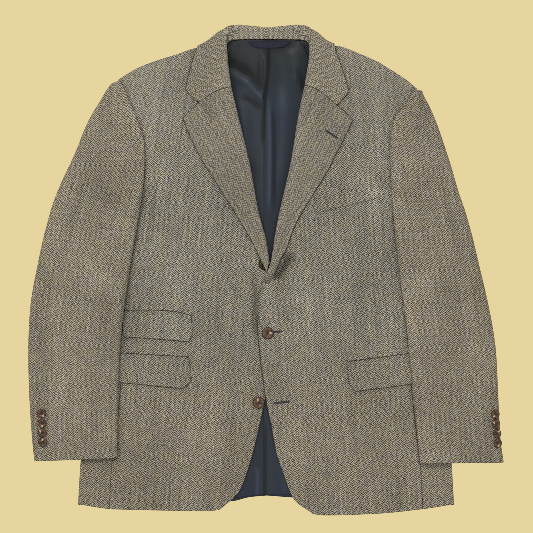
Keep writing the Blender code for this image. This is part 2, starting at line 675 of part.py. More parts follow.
def collar_section(station):
    """Section of the collar's strip: stand, fold, and fall to the outer edge."""
    seam, fold, leaf, edge = (station[3 * k:3 * k + 3] for k in range(4))
    radius = station[12]
    axis = fold - (seam + leaf) / 2
    axis /= np.linalg.norm(axis)
    spread = seam - leaf
    spread -= axis * spread.dot(axis)
    spread /= np.linalg.norm(spread)
    arc = [fold - axis * (COLLAR_WALL / 2 + radius * (1 - math.cos(a))) + spread * radius * math.sin(a)
           for a in np.radians((80, 40, 0, -40, -80))]
    section = [seam, (seam + arc[0]) / 2] + arc[:-1]
    for t in even(COLLAR_COLUMNS):
        section.append([cubic(t, (0, COLLAR_SPLIT, 1), (arc[-1][a], leaf[a], edge[a])) for a in range(3)])
    return np.array(section)


def add_collar(finish):
    """Collar in one strip round the neck, from gorge seam to gorge seam."""
    last = len(COLLAR) - 1
    grid = []
    for at in np.linspace(0, last, COLLAR_ROWS):
        section = collar_section(resample(COLLAR, [at])[0])
        from_end = min(at, last - at)
        if from_end < 1:
            side = "left" if at < last / 2 else "right"
            seam_row = lapel_grid(side)[-1][::-1][:-3] + (0, 3 * SEAM, 0)
            matched = len(seam_row)
            section[:matched] += (seam_row - section[:matched]) * (1 - from_end)
        for point in section:
            if shoulder_distance(point[0], point[1]) > 0 and from_end < 4.2:
                point[2] = max(point[2], float(on_front(side, point[0], point[1], COLLAR_WALL)))
            point[2] = max(point[2], COLLAR_WALL / 2)
        grid.append(section)
    return add_cloth("collar", np.array(grid), COLLAR_WALL, finish)


# Sleeves

def sleeve_ends(side, station):
    """Inner and outer fold of a flattened sleeve's section, as points of the wall's middle."""
    inner = np.array(station[0:2])
    outer = np.array(station[2:4])
    across = (outer - inner) / np.linalg.norm(outer - inner)
    inner = inner + across * TWEED / 2
    outer = outer - across * TWEED / 2
    return (np.array((*inner, sleeve_rest(side, *inner) + station[6] / 2)),
            np.array((*outer, sleeve_rest(side, *outer) + station[7] / 2)))


def sleeve_upper(side, station, s):
    """Point of a section's upper wall, at a share of its width from the inner fold."""
    inner, outer = sleeve_ends(side, station)
    point = inner + (outer - inner) * s
    puff = station[6] + (station[7] - station[6]) * s
    roundness = (1 - min(abs(2 * s - 1), 1) ** SQUARENESS) ** (1 / SQUARENESS)
    point[2] = inner[2] + (outer[2] - inner[2]) * float(ease(s)) + puff / 2 * roundness
    return point


def sleeve_wrap(side, fold, towards, length, t):
    """Point of the wall that turns under a fold: 0 at the fold, 1 flat on what it lies on."""
    across = towards[:2] - fold[:2]
    across /= np.linalg.norm(across)
    x, y = fold[:2] + across * length * t
    rest = sleeve_rest(side, x, y)
    turn = (1 - (1 - t) ** SQUARENESS) ** (1 / SQUARENESS)
    return np.array((x, y, fold[2] + (rest - fold[2]) * turn))


def add_sleeve(side, finish):
    """Top sleeve, from the forearm seam over both folds to the elbow seam, and under sleeve."""
    sign = SIDES[side]
    across = 8
    under_columns = 8
    top_grid = []
    under_grid = []
    for station in resample(SLEEVE[side], SLEEVE_AT):
        inner, outer = sleeve_ends(side, station)
        slant = np.linalg.norm((outer - inner)[:2]) / abs(outer[0] - inner[0])
        width = abs(outer[0] - inner[0]) * slant
        forearm = (sign * (station[4] - inner[0]) - SEAM / 2) * slant
        elbow = ELBOW_WRAP * min(1, width / 60) - SEAM / 2
        top = [sleeve_wrap(side, inner, outer, forearm, t) for t in (1, 0.45, 0.1)]
        top += [sleeve_upper(side, station, 0.5 - 0.5 * math.cos(math.pi * k / across))
                for k in range(across + 1)]
        top += [sleeve_wrap(side, outer, inner, elbow, t) for t in (0.1, 0.45, 1)]
        top_grid.append(top)
        start = (sign * (station[5] - inner[0]) + SEAM / 2) * slant / width
        stop = 1 - (elbow + 2 * SEAM) / width
        row = []
        for share in np.linspace(start, stop, under_columns):
            x, y = (inner + (outer - inner) * share)[:2]
            row.append((x, y, sleeve_rest(side, x, y)))
        under_grid.append(row)
    add_cloth("topsleeve_" + side, np.array(top_grid), TWEED, finish)
    add_cloth("undersleeve_" + side, np.array(under_grid), TWEED, finish)


def sleeve_spot(side, x, y):
    """Point of a sleeve's upper wall over a plan point, and the wall's normal there."""
    def point(at, dx=0.0):
        station = resample(SLEEVE[side], [at])[0]
        inner, outer = sleeve_ends(side, station)
        return sleeve_upper(side, station, (x + dx - inner[0]) / (outer[0] - inner[0]))

    low = 0.0
    high = len(SLEEVE[side]) - 1.0
    for _ in range(40):
        middle = (low + high) / 2
        if point(middle)[1] < y:
            low = middle
        else:
            high = middle
    across = Vector(point(low, 1.5) - point(low, -1.5))
    along = Vector(point(low + 0.05) - point(low - 0.05 if low > 0.05 else low))
    return Vector(point(low)), across.cross(along).normalized()


# Pieces that lie on the fronts

def add_laid(name, outline, side, wall, finish, columns=7, rows=4):
    """A flat piece on a front, from its four edges."""
    plan = patch(trace(outline["bottom"], even(columns)), trace(outline["top"], even(columns)),
                 trace(outline["inner"][::-1], even(rows)), trace(outline["outer"][::-1], even(rows)))
    height = on_front(side, plan[..., 0], plan[..., 1], wall)
    return add_cloth(name, with_height(plan, height), wall, finish)


def add_jet(name, outline, side, finish):
    """The narrow strip above a flap."""
    low = trace(outline["top"], even(6)) + (0, SEAM + 0.2)
    high = low + (0, JET_HEIGHT)
    plan = np.stack([low, high])
    height = on_front(side, plan[..., 0], plan[..., 1], JET_WALL)
    return add_cloth(name, with_height(plan, height), JET_WALL, finish)


def add_label(finish):
    """The plain neck label on the lining."""
    plan = patch(trace(LABEL["bottom"], even(7)), trace(LABEL["top"], even(7)),
                 trace(LABEL["inner"][::-1], even(3)), trace(LABEL["outer"][::-1], even(3)))
    step = LINING_WALL / 2 + LINING_WALL + 3 * SEAM + LABEL_WALL / 2
    height = lining_height(plan[..., 0], plan[..., 1]) + step
    return add_cloth("label", with_height(plan, height), LABEL_WALL, finish)


def surface_normal(height, x, y, step=2.0):
    """Upward normal of a height function."""
    return Vector((float(height(x - step, y) - height(x + step, y)),
                   float(height(x, y - step) - height(x, y + step)), 2 * step)).normalized()


def add_front_buttons(finish):
    """Three front buttons on their fronts."""
    for name, (side, x, y) in FRONT_BUTTONS.items():
        normal = surface_normal(lambda a, b, s=side: front_height(s, a, b), x, y)
        z = float(front_height(side, x, y))
        place = Vector((x, y, z)) + normal * (FRONT_WALL / 2 + SEAM)
        add_button(name, FRONT_BUTTON, place, normal, finish)


def add_cuff_buttons(side, finish):
    """Four buttons in a row by the elbow seam of a cuff."""
    for number, (x, y) in enumerate(CUFF_BUTTONS[side], 1):
        place, normal = sleeve_spot(side, x, y)
        add_button(f"cuff_button_{side}_{number}", CUFF_BUTTON, place + normal * (TWEED / 2 + SEAM), normal,
                   finish)


def build():
    """The whole jacket."""
    for old in list(bpy.data.objects):
        bpy.data.objects.remove(old)
    collection = bpy.data.collections.new(NAME)
    bpy.context.scene.collection.children.link(collection)
    tweed = material("tweed", (0.30, 0.26, 0.23), 0.9)
    satin = material("lining", (0.055, 0.06, 0.075), 0.35)
    navy = material("label", (0.02, 0.03, 0.09), 0.6)
    horn = material("horn", (0.12, 0.06, 0.03), 0.3)
    for side in SIDES:
        add_back(side, tweed)
        add_side(side, tweed)
        add_lining(side, satin)
        add_front(side, tweed)
        add_lapel(side, tweed)
        add_sleeve(side, tweed)
        add_laid("flap_" + side, FLAPS[side], side, FLAP_WALL, tweed)
        add_jet("jet_" + side, FLAPS[side], side, tweed)
        add_cuff_buttons(side, horn)
    add_collar(tweed)
    add_laid("ticket_flap", TICKET, "left", FLAP_WALL, tweed)
    add_jet("ticket_jet", TICKET, "left", tweed)
    add_laid("breast_welt", WELT, "right", JET_WALL, tweed)
    add_label(navy)
    add_front_buttons(horn)


build()
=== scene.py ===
"""Looks of the tweed hacking jacket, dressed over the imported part.

Tables are in millimetres, in the part's frame: x across, y from the hem to the collar, z up.
A panel's grid is the middle of its wall. Each is drawn finer here, with rounded edges, soft folds
and a grain map for the weave, and stands in the place of its own solid.
"""

import math

import bpy
import numpy as np
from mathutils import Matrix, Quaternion, Vector


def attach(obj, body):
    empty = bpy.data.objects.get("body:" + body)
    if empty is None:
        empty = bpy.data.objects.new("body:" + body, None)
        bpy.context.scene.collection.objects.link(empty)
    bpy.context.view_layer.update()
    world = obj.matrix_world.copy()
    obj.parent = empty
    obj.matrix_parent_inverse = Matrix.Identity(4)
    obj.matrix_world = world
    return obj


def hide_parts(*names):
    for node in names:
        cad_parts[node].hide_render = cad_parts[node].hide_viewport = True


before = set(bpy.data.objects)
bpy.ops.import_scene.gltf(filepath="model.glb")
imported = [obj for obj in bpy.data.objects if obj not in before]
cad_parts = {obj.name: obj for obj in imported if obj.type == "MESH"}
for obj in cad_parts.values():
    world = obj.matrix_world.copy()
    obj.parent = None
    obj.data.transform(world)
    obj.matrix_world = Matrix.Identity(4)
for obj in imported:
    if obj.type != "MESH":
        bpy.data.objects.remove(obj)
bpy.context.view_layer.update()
BODY = "root"

# Metres in a millimetre
MM = 0.001
SIDES = {"left": -1, "right": 1}

# Walls and gaps
SEAM = 0.3
TWEED = 2.0
FRONT_WALL = 2.4
COLLAR_WALL = 2.4
LINING_WALL = 1.0
LABEL_WALL = 0.6
FLAP_WALL = 1.6
JET_WALL = 1.0

# Buttons: 32 line on the front, 24 line at the cuffs
FRONT_BUTTON = {"radius": 9.8, "height": 3.4, "dish": 0.9, "rim": 1.6}
CUFF_BUTTON = {"radius": 7.6, "height": 2.8, "dish": 0.7, "rim": 1.3}
BUTTON_SIDES = 48
# Its two threads: half length, distance from the centre, radius
THREAD_REACH = 1.9
THREAD_ROW = 1.2
THREAD_RADIUS = 0.55

# Height of the front's wall above the floor, by the distance from the centre line
HEIGHT_STATIONS = (15, 120, 245)
HEIGHT = (
    # y, at the front edge, at mid front, at the side seam
    (-400, 6.4, 6.8, 7.6),
    (-250, 8.0, 8.8, 9.0),
    (-110, 9.0, 10.6, 11.0),
    (0, 9.8, 13.2, 12.0),
    (100, 12.0, 16.6, 14.0),
    (200, 16.0, 20.6, 17.5),
    (290, 21.0, 25.0, 22.5),
    (380, 24.0, 27.0, 25.0),
)
# The layers round off over this distance below the shoulder line, down to this height at it
SHOULDER_ROUND = 22
SHOULDER_EDGE = 14.0
BACK_EDGE = SHOULDER_EDGE - FRONT_WALL / 2 - TWEED / 2 - SEAM
# Where the fronts lap, and by how much each moves down or up there
OVERLAP_REACH = 34
OVERLAP_FADE = 45
OVERLAP_TOP = 20
OVERLAP_BOTTOM = -205
OVERLAP_SHIFT = {"left": -1.3, "right": 1.8}

# Shoulder line as it lies, from the sleeve to the neck
SHOULDER = {
    "left": ((-244, 313.5), (-218, 330), (-178, 346), (-147, 355.5), (-120, 365), (-97, 370), (-73, 372)),
    "right": ((249, 299), (231, 314), (206, 330), (180, 345.5), (150, 358), (118, 369.5), (79, 372)),
}
HEM = {
    "left": ((-259, -395), (-192, -397), (-132, -398), (-88, -398.5), (-76, -396)),
    "right": ((259, -396), (196, -402.5), (154, -404.5), (112, -405.6), (91, -405.6), (78, -403.5)),
}
# Front edge from the hem's rounded corner, up the cutaway quarter to the lapel's break
FRONT_EDGE = {
    "left": ((-76, -396), (-62, -388), (-53, -381), (-43, -362), (-33, -339), (-25, -312),
             (-17, -283), (-10, -253), (-4, -224), (2, -200), (9, -165), (21, -104), (24, -56),
             (20, -20), (12, -2)),
    "right": ((78, -403.5), (59, -392), (51, -384), (42, -373), (36, -355), (27, -332), (18, -305),
              (13, -277), (7, -248), (2, -224), (-1, -203), (-7, -164), (-12, -111), (-14, -78),
              (-12.5, -56), (-10, -40), (-6, -25)),
}
# Roll line, where the front turns over into the lapel, from the break to the gorge
ROLL = {
    "left": ((5.9, 9.5), (5.6, 16), (4.4, 24), (0.5, 49), (-10, 87), (-27, 177), (-46, 256), (-57, 301)),
    "right": ((-3.5, -20), (-0.2, -8), (4.6, 4), (8.2, 15), (12.0, 40), (18, 76), (42, 185), (54, 261),
              (63.5, 304)),
}
# Shares of the roll's length that carry a row, closer together at the break
LAPEL_SHARES = (0, 0.03, 0.06, 0.1, 0.15, 0.21, 0.29, 0.38, 0.48, 0.58, 0.69, 0.8, 0.9, 1)
ROLL_SETBACK = {
    # y, from the roll's outermost line in to the seam under it
    "left": ((0, 3.2), (60, 6.0), (300, 8.0)),
    "right": ((-14, 3.2), (20, 4.4), (60, 6.0), (300, 8.0)),
}
ROLL_HEIGHT = {
    # y, height of the roll over the wall under it
    "left": ((10, 7.0), (60, 8.0), (300, 10.0)),
    "right": ((-14, 4.4), (10, 4.8), (30, 6.4), (60, 8.0), (300, 10.0)),
}
ROLL_DEPTH = {
    # y, from the roll's outermost line in to its crest
    "left": ((0, 2.0), (100, 4.0), (300, 4.6)),
    "right": ((-14, 1.8), (20, 2.6), (100, 4.0), (300, 4.6)),
}
LAPEL_LIFT = {
    # y, how far the leaf's outer edge stands off the front
    "left": ((22, 3.9), (62, 0.3), (260, 0.3)),
    "right": ((-14, 1.5), (20, 1.5), (70, 0.3), (260, 0.3)),
}
NECK = {
    # neck seam, from the gorge to the shoulder line
    "left": ((-67.5, 306), (-71.5, 328), (-74, 347), (-73, 372)),
    "right": ((73.5, 309), (77.5, 330), (80, 347), (79, 372)),
}
LAPEL_EDGE = {
    # outer edge, from the break to the lapel's point
    "left": ((-2.8, -3), (-8.2, 16), (-22, 46), (-46, 87), (-74, 132), (-102, 177), (-125, 221), (-136, 250)),
    "right": ((5.5, -20), (11.2, -9), (15.6, 0), (24.5, 20), (37, 44), (43, 64), (71, 115), (99, 160),
              (122, 205), (142, 246)),
}
NOTCH = {"left": (-109, 276), "right": (115, 272)}
NOTCH_LINE = {"left": ((-136, 250), (-123, 264)), "right": ((142, 246), (128, 261))}
# The leaf comes down from the roll's crest within this share of its width
LEAF_SHARE = 0.7
GORGE_BEND = 5.0
GORGE_SHARES = (0.09, 0.27, 0.45, 0.63, 0.81, 1.0)
COLLAR_ROWS = 29
# Sections of the collar, counted from its ends, that may lie on a front
COLLAR_ON_FRONT = 4.2
COLLAR_COLUMNS = len(GORGE_SHARES) + 2
COLLAR_SPLIT = (len(GORGE_SHARES) - 1) / (COLLAR_COLUMNS - 1)

# Side fold of the body. The side panel runs round it, from the front seam to the back seam
SIDE_FOLD = (
    # fold x, fold y, front seam y, back seam x, back seam y
    (311, -388, -395, 251, -388),
    (307, -320, -321, 247, -320),
    (298, -248, -248, 239, -248),
    (290, -165, -165, 231, -165),
    (286, -99, -99, 227, -92),
    (290, -16, -16, 232, 10),
    (296, 54, 60, 252, 110),
)
SIDE_WIDTH = 52
SIDE_ROWS = 12
# Steps of its turn round the fold
SIDE_TURN = 5
# Row of the front's grid that meets the break. The next ones are at these shares of the edge above
# it, and then evenly spaced
BREAK_ROW = 10
BREAK_SHARES = (0, 0.035, 0.07)
EVEN_FROM = 0.15
# The front's neck edge lies this far out from the neck seam, under the collar
NECK_SEAM = 1.5
ARMHOLE_FRONT = {
    "left": ((-244, 60), (-238, 78), (-219, 107), (-208, 157), (-204.5, 198), (-206.5, 218),
             (-219.5, 256), (-234.5, 294), (-244, 313.5)),
    "right": ((244, 60), (238, 78), (220, 107), (210, 157), (208.5, 189), (208.5, 212),
              (213.5, 243), (232.5, 272), (242.5, 287), (249, 299)),
}
ARMHOLE_BACK = {
    "left": ((-252, 110), (-240, 160), (-234, 205), (-233, 255), (-243, 313)),
    "right": ((252, 110), (241, 160), (235, 205), (234, 250), (247, 299)),
}
CENTRE_BACK = 1.5
BACK_HEM = {
    "left": ((-251, -388), (-150, -387), (-53, -382), (-32, -377), (-13, -373), (CENTRE_BACK, -373)),
    "right": ((251, -389), (150, -386), (42, -376), (27, -375), (12, -373.5), (CENTRE_BACK, -373)),
}
BACK_NECK = {"left": ((-73, 372), (-60, 379), (-38, 380), (CENTRE_BACK, 380)),
             "right": ((79, 372), (66, 379), (41, 380), (CENTRE_BACK, 380))}

# Shares of a long edge, closer together by the neck
FINE_TOP = (0, 0.25, 0.45, 0.58, 0.67, 0.76, 0.84, 0.92, 1)

# Where the collar's fall lies on the floor it lifts the back
FALL_REACH = 108
FALL_START = 352
FALL_RAMP = 50
# The back's neck edge stays down to this distance from the centre line
NECK_FLAT = 66
NECK_RISE = 20

# Back lining: x at its side, and edges in x and y
LINING_REACH = 112
LINING_SIDE = ((LINING_REACH, 180), (86, 300))
LINING_TOP = ((62, 371), (52, 379))
LINING_NECK = 381
LINING_HEM = (
    # x, point of the back's hem that it follows, how far above that
    (LINING_REACH, 1, 8), (60, 2, 5), (30, 3, 3),
)
LINING_HEM_END = 2.5
# Shares of its length that carry a row
LINING_ROWS = (*np.linspace(0, 0.8, 9), *np.linspace(0.84, 1, 7))
# Beyond this place its corners by the neck rise
LINING_CORNER = (48, 345)
CORNER_REACH = (14, 25)
# How far the right lining laps over the left
PLEAT = 5

# Sleeves, from the cuff to the head: the inner and outer folds as they lie
SLEEVE = {
    # inner x, y, outer x, y, forearm seam x, underarm x
    "left": (
        (-246, -310, -383, -316, -260, -260), (-245, -280, -386.5, -282, -259, -259),
        (-244, -214, -391, -214, -258, -258), (-242, -148, -393, -135, -257, -257),
        (-236, -82, -389.5, -62, -252, -252), (-227, -16, -378, 5, -246, -246),
        (-218, 38, -366, 60, -242, -242), (-215, 56, -360.5, 80, -241, -250),
        (-212, 74, -355, 100, -239, -276), (-205, 116, -340, 140, -214, -253),
        (-200, 168, -323, 176, -205, -241), (-200, 198, -311, 203, -203.2, -237),
        (-202.5, 220, -301, 229, -205.5, -236), (-215.5, 256, -289, 254, -218.3, -236),
        (-230, 290, -273, 280, -232.8, -241), (-238, 307.5, -261, 300, -240.5, -245),
        (-240.8, 312.5, -255, 307.5, -243, -247),
    ),
    "right": (
        (254, -319, 393, -318, 268, 268), (250, -280, 388, -283, 264, 264),
        (244, -214, 384, -210, 258, 258), (237, -148, 380, -135, 252, 252),
        (230, -82, 369, -65, 247, 247), (221, -16, 354, 0, 243, 243),
        (215, 38, 341, 55, 241, 241), (213, 56, 335.5, 75, 241, 250),
        (211, 74, 330, 94, 239, 276), (208, 116, 317, 132, 215, 253),
        (205, 168, 306, 170, 208.2, 241), (204.5, 198, 298, 195, 207, 237),
        (205.5, 218, 290, 219, 208, 236), (211.5, 247, 280, 247, 214.2, 236),
        (229.5, 273, 269, 272, 232.2, 240), (240.5, 290.5, 260, 289, 243.3, 248),
        (244.8, 298, 258, 295.5, 247.3, 251),
    ),
}
SLEEVE_PUFF = (
    # height of the hollow at the inner and at the outer fold, by the same rows
    (10, 11), (11, 12), (12, 14), (13, 16), (14, 18), (15, 20), (16, 22), (16, 22), (17, 23),
    (15, 25), (10, 26), (7, 26), (5, 26), (5, 26), (5, 24), (5, 19), (4, 9),
)
# Stations of those tables that are built
SLEEVE_AT = (0, 1, 1.5, 2, 2.5, 3, 3.5, 4, 4.5, 5, 5.5, 6, 7, 8, 9, 9.5, 10, 11, 12, 13, 14, 15, 16)
# How far the top sleeve goes on under its outer fold, and the width under which it goes less far
ELBOW_WRAP = 14
NARROW_SLEEVE = 60
# Where the wall that turns under a fold has points, from its end, and how square its turn is
WRAP_AT = (1, 0.45, 0.1)
SQUARENESS = 3.0
# Under a sleeve the body is full height to its side fold, then drops to the floor
BODY_MARGIN = 8
BODY_DROP = 15
ARMPIT = (70, 86)
ARMHOLE_MARGIN = 1
ARMHOLE_DROP = 6
POCKET_BAND = {"x": (112, 285), "y": (-212, -50), "fade": 16, "lift": 2.4}

# Flaps, from the end nearer the front edge outwards
TICKET = {
    "top": ((-124, -74.5), (-147, -69), (-172, -66.5), (-195, -66), (-236, -67)),
    "bottom": ((-128, -118), (-149, -116), (-174, -114), (-200, -112), (-234, -110)),
    "inner": ((-124, -74.5), (-122.5, -95), (-122, -112), (-128, -118)),
    "outer": ((-236, -67), (-236.5, -85), (-237, -104), (-234, -110)),
}
FLAPS = {
    "left": {
        "top": ((-129, -143), (-185, -140), (-241, -137), (-268, -136)),
        "bottom": ((-137, -195), (-165, -193), (-222, -187), (-268, -184)),
        "inner": ((-129, -143), (-125, -165), (-124.5, -184), (-137, -195)),
        "outer": ((-268, -136), (-268.5, -150), (-268.5, -168), (-268, -184)),
    },
    "right": {
        "top": ((134, -151), (184, -144.5), (233, -138), (272, -134)),
        "bottom": ((148, -200), (195, -194), (239, -188), (272, -184)),
        "inner": ((134, -151), (136, -170), (138.5, -190), (148, -200)),
        "outer": ((272, -134), (272.5, -150), (272.5, -168), (272, -184)),
    },
}
JET_HEIGHT = 8.5
JET_GAP = 0.2
WELT = {
    "top": ((83, 116), (118, 125), (152, 133.5), (186, 142)),
    "bottom": ((83, 94), (118, 103), (153, 111.5), (188, 120)),
    "inner": ((83, 116), (83, 108), (83, 101), (83, 94)),
    "outer": ((186, 142), (186.7, 135), (187.3, 128), (188, 120)),
}
LABEL = {
    "top": ((-29, 377.5), (-6, 377.5), (18, 377.5), (41, 377.5)),
    "bottom": ((-16, 367.5), (-2, 367.2), (13, 367.2), (27, 368)),
    "inner": ((-29, 377.5), (-26, 374), (-21, 370.5), (-16, 367.5)),
    "outer": ((41, 377.5), (38, 374), (33, 371), (27, 368)),
}

# Collar, one strip: sections from the left gorge round the back of the neck to the right gorge
COLLAR = (
    # seam x, y, z,      fold x, y, z,        leaf x, y, z,         edge x, y, z,        fold radius
    (-66, 306, 21.5, -57, 303.5, 26.5, -109, 276.8, 28.0, -132, 298, 28.0, 4.4),
    (-70, 328, 22.5, -60.5, 325, 28.0, -95, 318, 31.0, -126.5, 322, 28.5, 4.6),
    (-72.5, 347, 22.5, -62.5, 345, 29.0, -95, 343, 31.0, -120, 345, 27.0, 4.8),
    (-70, 363, 20.0, -64, 363, 29.0, -92, 363, 30.0, -115, 360, 26.0, 4.8),
    (-66, 373, 15.0, -65, 380, 26.0, -90, 379, 26.0, -111, 370, 17.0, 4.8),
    (-62, 378, 11.0, -64.5, 391, 20.0, -86, 386, 15.0, -103, 368, 3.0, 4.6),
    (-56, 380, 9.0, -60.5, 402.5, 13.0, -72.5, 394, 7.0, -84, 361, 1.4, 4.6),
    (-44, 381.5, 8.2, -46, 405.5, 7.2, -56, 386, 1.4, -60, 359, 1.2, 4.8),
    (-22, 382, 8.0, -22, 403.5, 6.0, -27, 382, 1.2, -30, 358, 1.2, 4.8),
    (3, 382, 8.0, 3, 401.5, 6.0, 3, 381, 1.2, 3, 358, 1.2, 4.8),
    (28, 382, 8.0, 28, 403.5, 6.0, 33, 382, 1.2, 36, 358, 1.2, 4.8),
    (50, 381.5, 8.2, 52, 405.5, 7.2, 62, 386, 1.4, 64, 359, 1.2, 4.8),
    (62, 380, 9.0, 65.5, 402.5, 13.0, 77, 394, 7.0, 86, 361, 1.4, 4.6),
    (68, 378, 11.0, 70.5, 391, 20.0, 91, 385.5, 15.0, 106, 370, 3.0, 4.6),
    (72, 373, 15.0, 71, 380, 26.0, 93, 379, 26.0, 112, 373, 17.0, 4.8),
    (76, 363, 20.0, 71, 363, 29.0, 94, 363, 30.0, 113.5, 362, 26.0, 4.8),
    (78.5, 347, 22.5, 70, 346, 29.0, 99, 344, 31.0, 119, 347, 27.0, 4.8),
    (76.5, 330, 22.5, 67.5, 328, 28.0, 100, 318, 31.0, 128, 322, 28.5, 4.6),
    (72.5, 309, 21.5, 63.5, 306.5, 26.5, 115, 272.8, 28.0, 136, 293.5, 28.0, 4.4),
)

FRONT_BUTTONS = {
    # the front that it lies on, x, y, degrees it is turned by
    "button_top": ("left", -7, 11, 10),
    "button_middle": ("right", 3, -104, 5),
    "button_bottom": ("left", -12, -219, 50),
}
# The top button lies further under the right lapel's roll
TOP_BUTTON_MOVE = (4.2, -0.5, -0.6)
CUFF_BUTTONS = {
    # x, y, degrees each is turned by
    "left": ((-370, -237, 10), (-369, -253, -25), (-369, -268.5, 190), (-368, -284, 150)),
    "right": ((378, -238, 120), (379, -254, 40), (381, -270, -60), (382, -286, 170)),
}
BUTTONHOLES = {
    # panel, both ends, half width
    "lapel": ("lapel_right", (97, 231), (119, 216.3), 2.2),
    "middle": ("front_right", (8, -103), (26.5, -101.3), 2.3),
    "bottom": ("front_right", (12.7, -219.9), (40.4, -217.1), 2.3),
}
# A buttonhole's bar: its height, the length and depth of its stitches, the depth and half width of
# its slit, the share of the width that its ends keep, how far it sinks in, and its mesh
HOLE_RISE = 0.9
HOLE_STITCH = 1.1
HOLE_NOTCH = 0.18
HOLE_SLIT = (0.75, 0.22)
HOLE_END = 0.35
HOLE_SINK = 0.15
HOLE_STEP = 0.18
HOLE_COLUMNS = 13


# Curves and grids

def cubic(x, xs, ys):
    """Cubic through (xs, ys) that never overshoots them, held level past both ends."""
    xs = np.asarray(xs, float)
    ys = np.asarray(ys, float)
    wide = (...,) + (None,) * (ys.ndim - 1)
    gaps = np.diff(xs)
    step = gaps[wide]
    slope = np.diff(ys, axis=0) / step
    low, high = slope[:-1], slope[1:]
    same = low * high > 0
    before = 2 * step[1:] + step[:-1]
    after = step[1:] + 2 * step[:-1]
    mean = (before + after) / (before / np.where(same, low, 1) + after / np.where(same, high, 1))
    rate = np.concatenate([slope[:1], np.where(same, mean, 0), slope[-1:]])
    x = np.clip(np.asarray(x, float), xs[0], xs[-1])
    i = np.clip(np.searchsorted(xs, x, side="right") - 1, 0, len(gaps) - 1)
    step = gaps[i][wide]
    t = (x - xs[i])[wide] / step
    return (ys[i] * (1 + 2 * t) * (1 - t) ** 2 + rate[i] * step * t * (1 - t) ** 2
            + ys[i + 1] * t * t * (3 - 2 * t) + rate[i + 1] * step * t * t * (t - 1))


def lookup(rows, x):
    """Second column of a two-column table, at x in its first."""
    return cubic(x, [row[0] for row in rows], [row[1] for row in rows])


def ease(t):
    """Smooth step from 0 to 1."""
    t = np.clip(t, 0, 1)
    return t * t * (3 - 2 * t)


def even(count):
    """Evenly spaced shares from 0 to 1."""
    return np.linspace(0, 1, count)


def lengths(points):
    """Distance along a line to each of its points."""
    steps = np.linalg.norm(np.diff(np.asarray(points, float), axis=0), axis=1)
    return np.concatenate(([0], np.cumsum(steps)))


def trace(points, shares):
    """Points at the given shares of a smooth line through a short table of points."""
    points = np.asarray(points, float)
    along = lengths(points)
    at = np.asarray(shares, float) * along[-1]
    return np.stack([cubic(at, along, points[:, k]) for k in range(points.shape[1])], axis=1)


def offset_line(points, distances):
    """A line moved sideways in plan, to its left as it runs."""
    points = np.asarray(points, float)
    run = np.gradient(points[:, :2], axis=0)
    run /= np.linalg.norm(run, axis=1)[:, None]
    left = np.stack([-run[:, 1], run[:, 0]], axis=1)
    return points[:, :2] + left * np.asarray(distances, float).reshape(-1, 1)


def patch(bottom, top, outer, inner, row_shares=None):
    """Plan grid between four traced edges; rows run from bottom to top, columns outer to inner."""
    v = (even(len(outer)) if row_shares is None else np.asarray(row_shares, float))[:, None, None]
    u = even(len(bottom))[None, :, None]
    across = (1 - u) * outer[:, None, :] + u * inner[:, None, :]
    along = (1 - v) * bottom[None, :, :] + v * top[None, :, :]
    corners = ((1 - u) * (1 - v) * bottom[0] + u * (1 - v) * bottom[-1]
               + (1 - u) * v * top[0] + u * v * top[-1])
    return across + along - corners


def with_height(plan, height):
    """A plan grid raised to the heights of the same shape."""
    return np.concatenate([plan, np.asarray(height)[..., None]], axis=-1)


def raised(plan, height, *facts):
    """A plan grid raised to a layer's height."""
    return with_height(plan, height(*facts, plan[..., 0], plan[..., 1]))


def resample(table, at):
    """A table's columns at the given stations, counted from its first row."""
    table = np.asarray(table, float)
    stations = np.arange(len(table))
    return np.stack([cubic(at, stations, table[:, k]) for k in range(table.shape[1])], axis=1)


# Heights of the layers

def body_height(x, y):
    """Middle of the front's wall, before the fronts overlap."""
    x = np.asarray(x, float)
    y = np.asarray(y, float)
    ys = [row[0] for row in HEIGHT]
    edge, middle, side = (cubic(y, ys, [row[k] for row in HEIGHT]) for k in (1, 2, 3))
    near, mid, far = HEIGHT_STATIONS
    reach = np.abs(x)
    inner = edge + (middle - edge) * ease((reach - near) / (mid - near))
    outer = middle + (side - middle) * ease((reach - mid) / (far - mid))
    full = np.where(reach < mid, inner, outer)
    return round_shoulder(x, y, full, SHOULDER_EDGE)


def shoulder_distance(x, y):
    """How far a point lies below the shoulder line."""
    left = np.array(SHOULDER["left"])
    right = np.array(SHOULDER["right"])[::-1]
    xs = np.concatenate([left[:, 0], right[:, 0]])
    ys = np.concatenate([left[:, 1], right[:, 1]])
    return cubic(x, xs, ys) - y


def round_shoulder(x, y, full, edge):
    """Rounds a layer from its full height to the edge height at the shoulder line."""
    t = np.clip(shoulder_distance(x, y) / SHOULDER_ROUND, 0, 1)
    return edge + (full - edge) * np.sqrt(1 - (1 - t) ** 2)


def front_height(side, x, y):
    """Middle of one front's wall; the right front laps over the left."""
    reach = ease((OVERLAP_REACH + OVERLAP_FADE - np.abs(x)) / OVERLAP_FADE)
    below = ease((OVERLAP_TOP + OVERLAP_FADE - y) / OVERLAP_FADE)
    above = ease((y - OVERLAP_BOTTOM + 2 * OVERLAP_FADE) / OVERLAP_FADE)
    return body_height(x, y) + OVERLAP_SHIFT[side] * reach * below * above


def on_front(wall, side, x, y):
    """Middle of a piece of the given wall that lies on a front."""
    return front_height(side, x, y) + FRONT_WALL / 2 + SEAM + wall / 2


